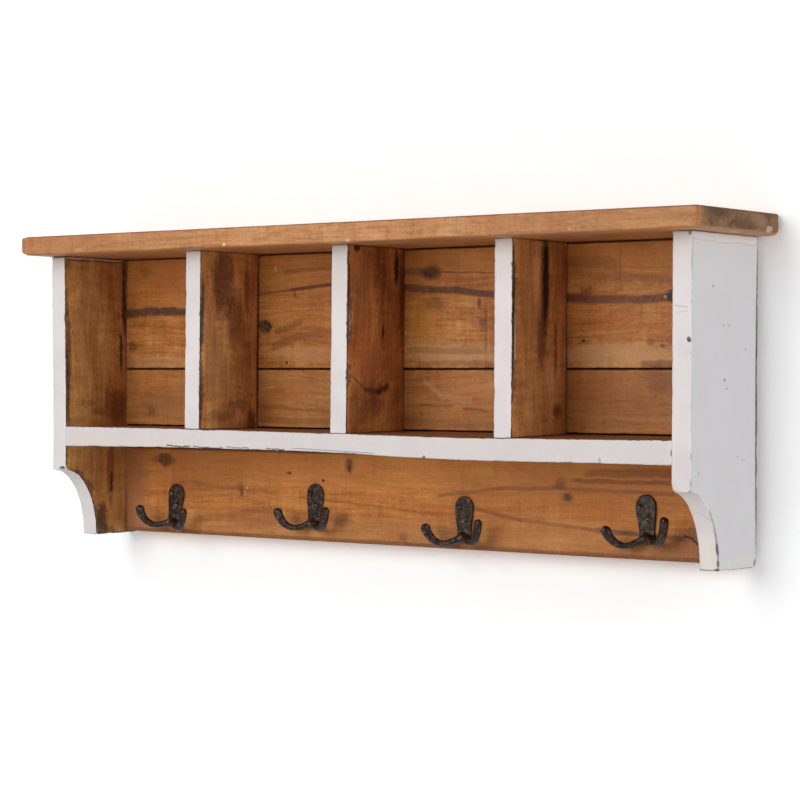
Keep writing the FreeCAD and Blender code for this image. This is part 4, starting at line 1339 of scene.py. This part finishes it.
def one_sided(name, colour):
    """A sheet that shows from the room and is clear from behind, in plaster white for the wall and in dark
    painted shade for the strips behind the gaps.
    """
    material = bpy.data.materials.new(name)
    material.use_nodes = True
    nodes, links = material.node_tree.nodes, material.node_tree.links
    nodes.remove(nodes["Principled BSDF"])
    plaster = nodes.new("ShaderNodeBsdfDiffuse")
    plaster.inputs["Color"].default_value = colour
    clear = nodes.new("ShaderNodeBsdfTransparent")
    pick = nodes.new("ShaderNodeMixShader")
    links.new(nodes.new("ShaderNodeNewGeometry").outputs["Backfacing"], pick.inputs[0])
    links.new(plaster.outputs[0], pick.inputs[1])
    links.new(clear.outputs[0], pick.inputs[2])
    links.new(pick.outputs[0], nodes["Material Output"].inputs[0])
    return material


white = one_sided("wall_white", (1.10, 1.115, 1.13, 1))
wall = upright_sheet("wall", (-ROOM, FLOOR_Z), (ROOM, ROOM), WALL_Y, white)
wall.visible_shadow = False
wall.visible_diffuse = False
wall.visible_glossy = False
wall.visible_transmission = False

# Painted shade: near-black strips seen through the gaps between the boards
shade = one_sided("gap_shade", (0.03, 0.03, 0.03, 1))
half = SIDE_INNER * MM + STRIP_LAP
for number, (below, above) in enumerate(zip(BACK_BOARDS[:-1], BACK_BOARDS[1:])):
    gap = (node_box(below)[1][2] + node_box(above)[0][2]) / 2
    z = (gap - FRAME_DROP) * MM
    upright_sheet(f"gap_shade_{number + 1}", (-half, z - STRIP_HALF), (half, z + STRIP_HALF), STRIP_Y, shade)

pale = bpy.data.materials.new("floor_pale")
pale.use_nodes = True
pale.node_tree.nodes["Principled BSDF"].inputs["Base Color"].default_value = (0.82, 0.81, 0.80, 1)
pale.node_tree.nodes["Principled BSDF"].inputs["Roughness"].default_value = 0.8
floor_corners = ((-ROOM, -ROOM), (ROOM, -ROOM), (ROOM, ROOM), (-ROOM, ROOM))
sheet("floor", [(x, y, FLOOR_Z) for x, y in floor_corners], pale)

# Lamps aimed at the rack: name, place, size, power and colour
LAMPS = (
    ("key", (-0.65, -3.25, 0.85), 2.6, 59.5, (1.0, 0.985, 0.97)),
    ("fill", (3.28, -0.74, 0.35), 2.0, 40.0, (1.0, 1.0, 1.0)),
    ("high", (-0.6, -1.6, 2.1), 2.0, 12.0, (1.0, 1.0, 1.0)),
    ("back", (-2.2, 2.4, 0.9), 2.6, 40.0, (1.0, 1.0, 1.0)),
)
for name, spot, width, power, colour in LAMPS:
    light = bpy.data.lights.new(name, "AREA")
    light.shape = "DISK"
    light.size = width
    light.energy = power
    light.color = colour
    lamp = linked(name, light)
    lamp.location = spot
    lamp.rotation_euler = (-Vector(spot)).to_track_quat("-Z", "Y").to_euler()

world = bpy.data.worlds.new("studio")
bpy.context.scene.world = world
world.use_nodes = True
world.node_tree.nodes["Background"].inputs["Color"].default_value = (1, 1, 1, 1)
world.node_tree.nodes["Background"].inputs["Strength"].default_value = 0.36
bpy.context.scene.view_settings.view_transform = "Standard"
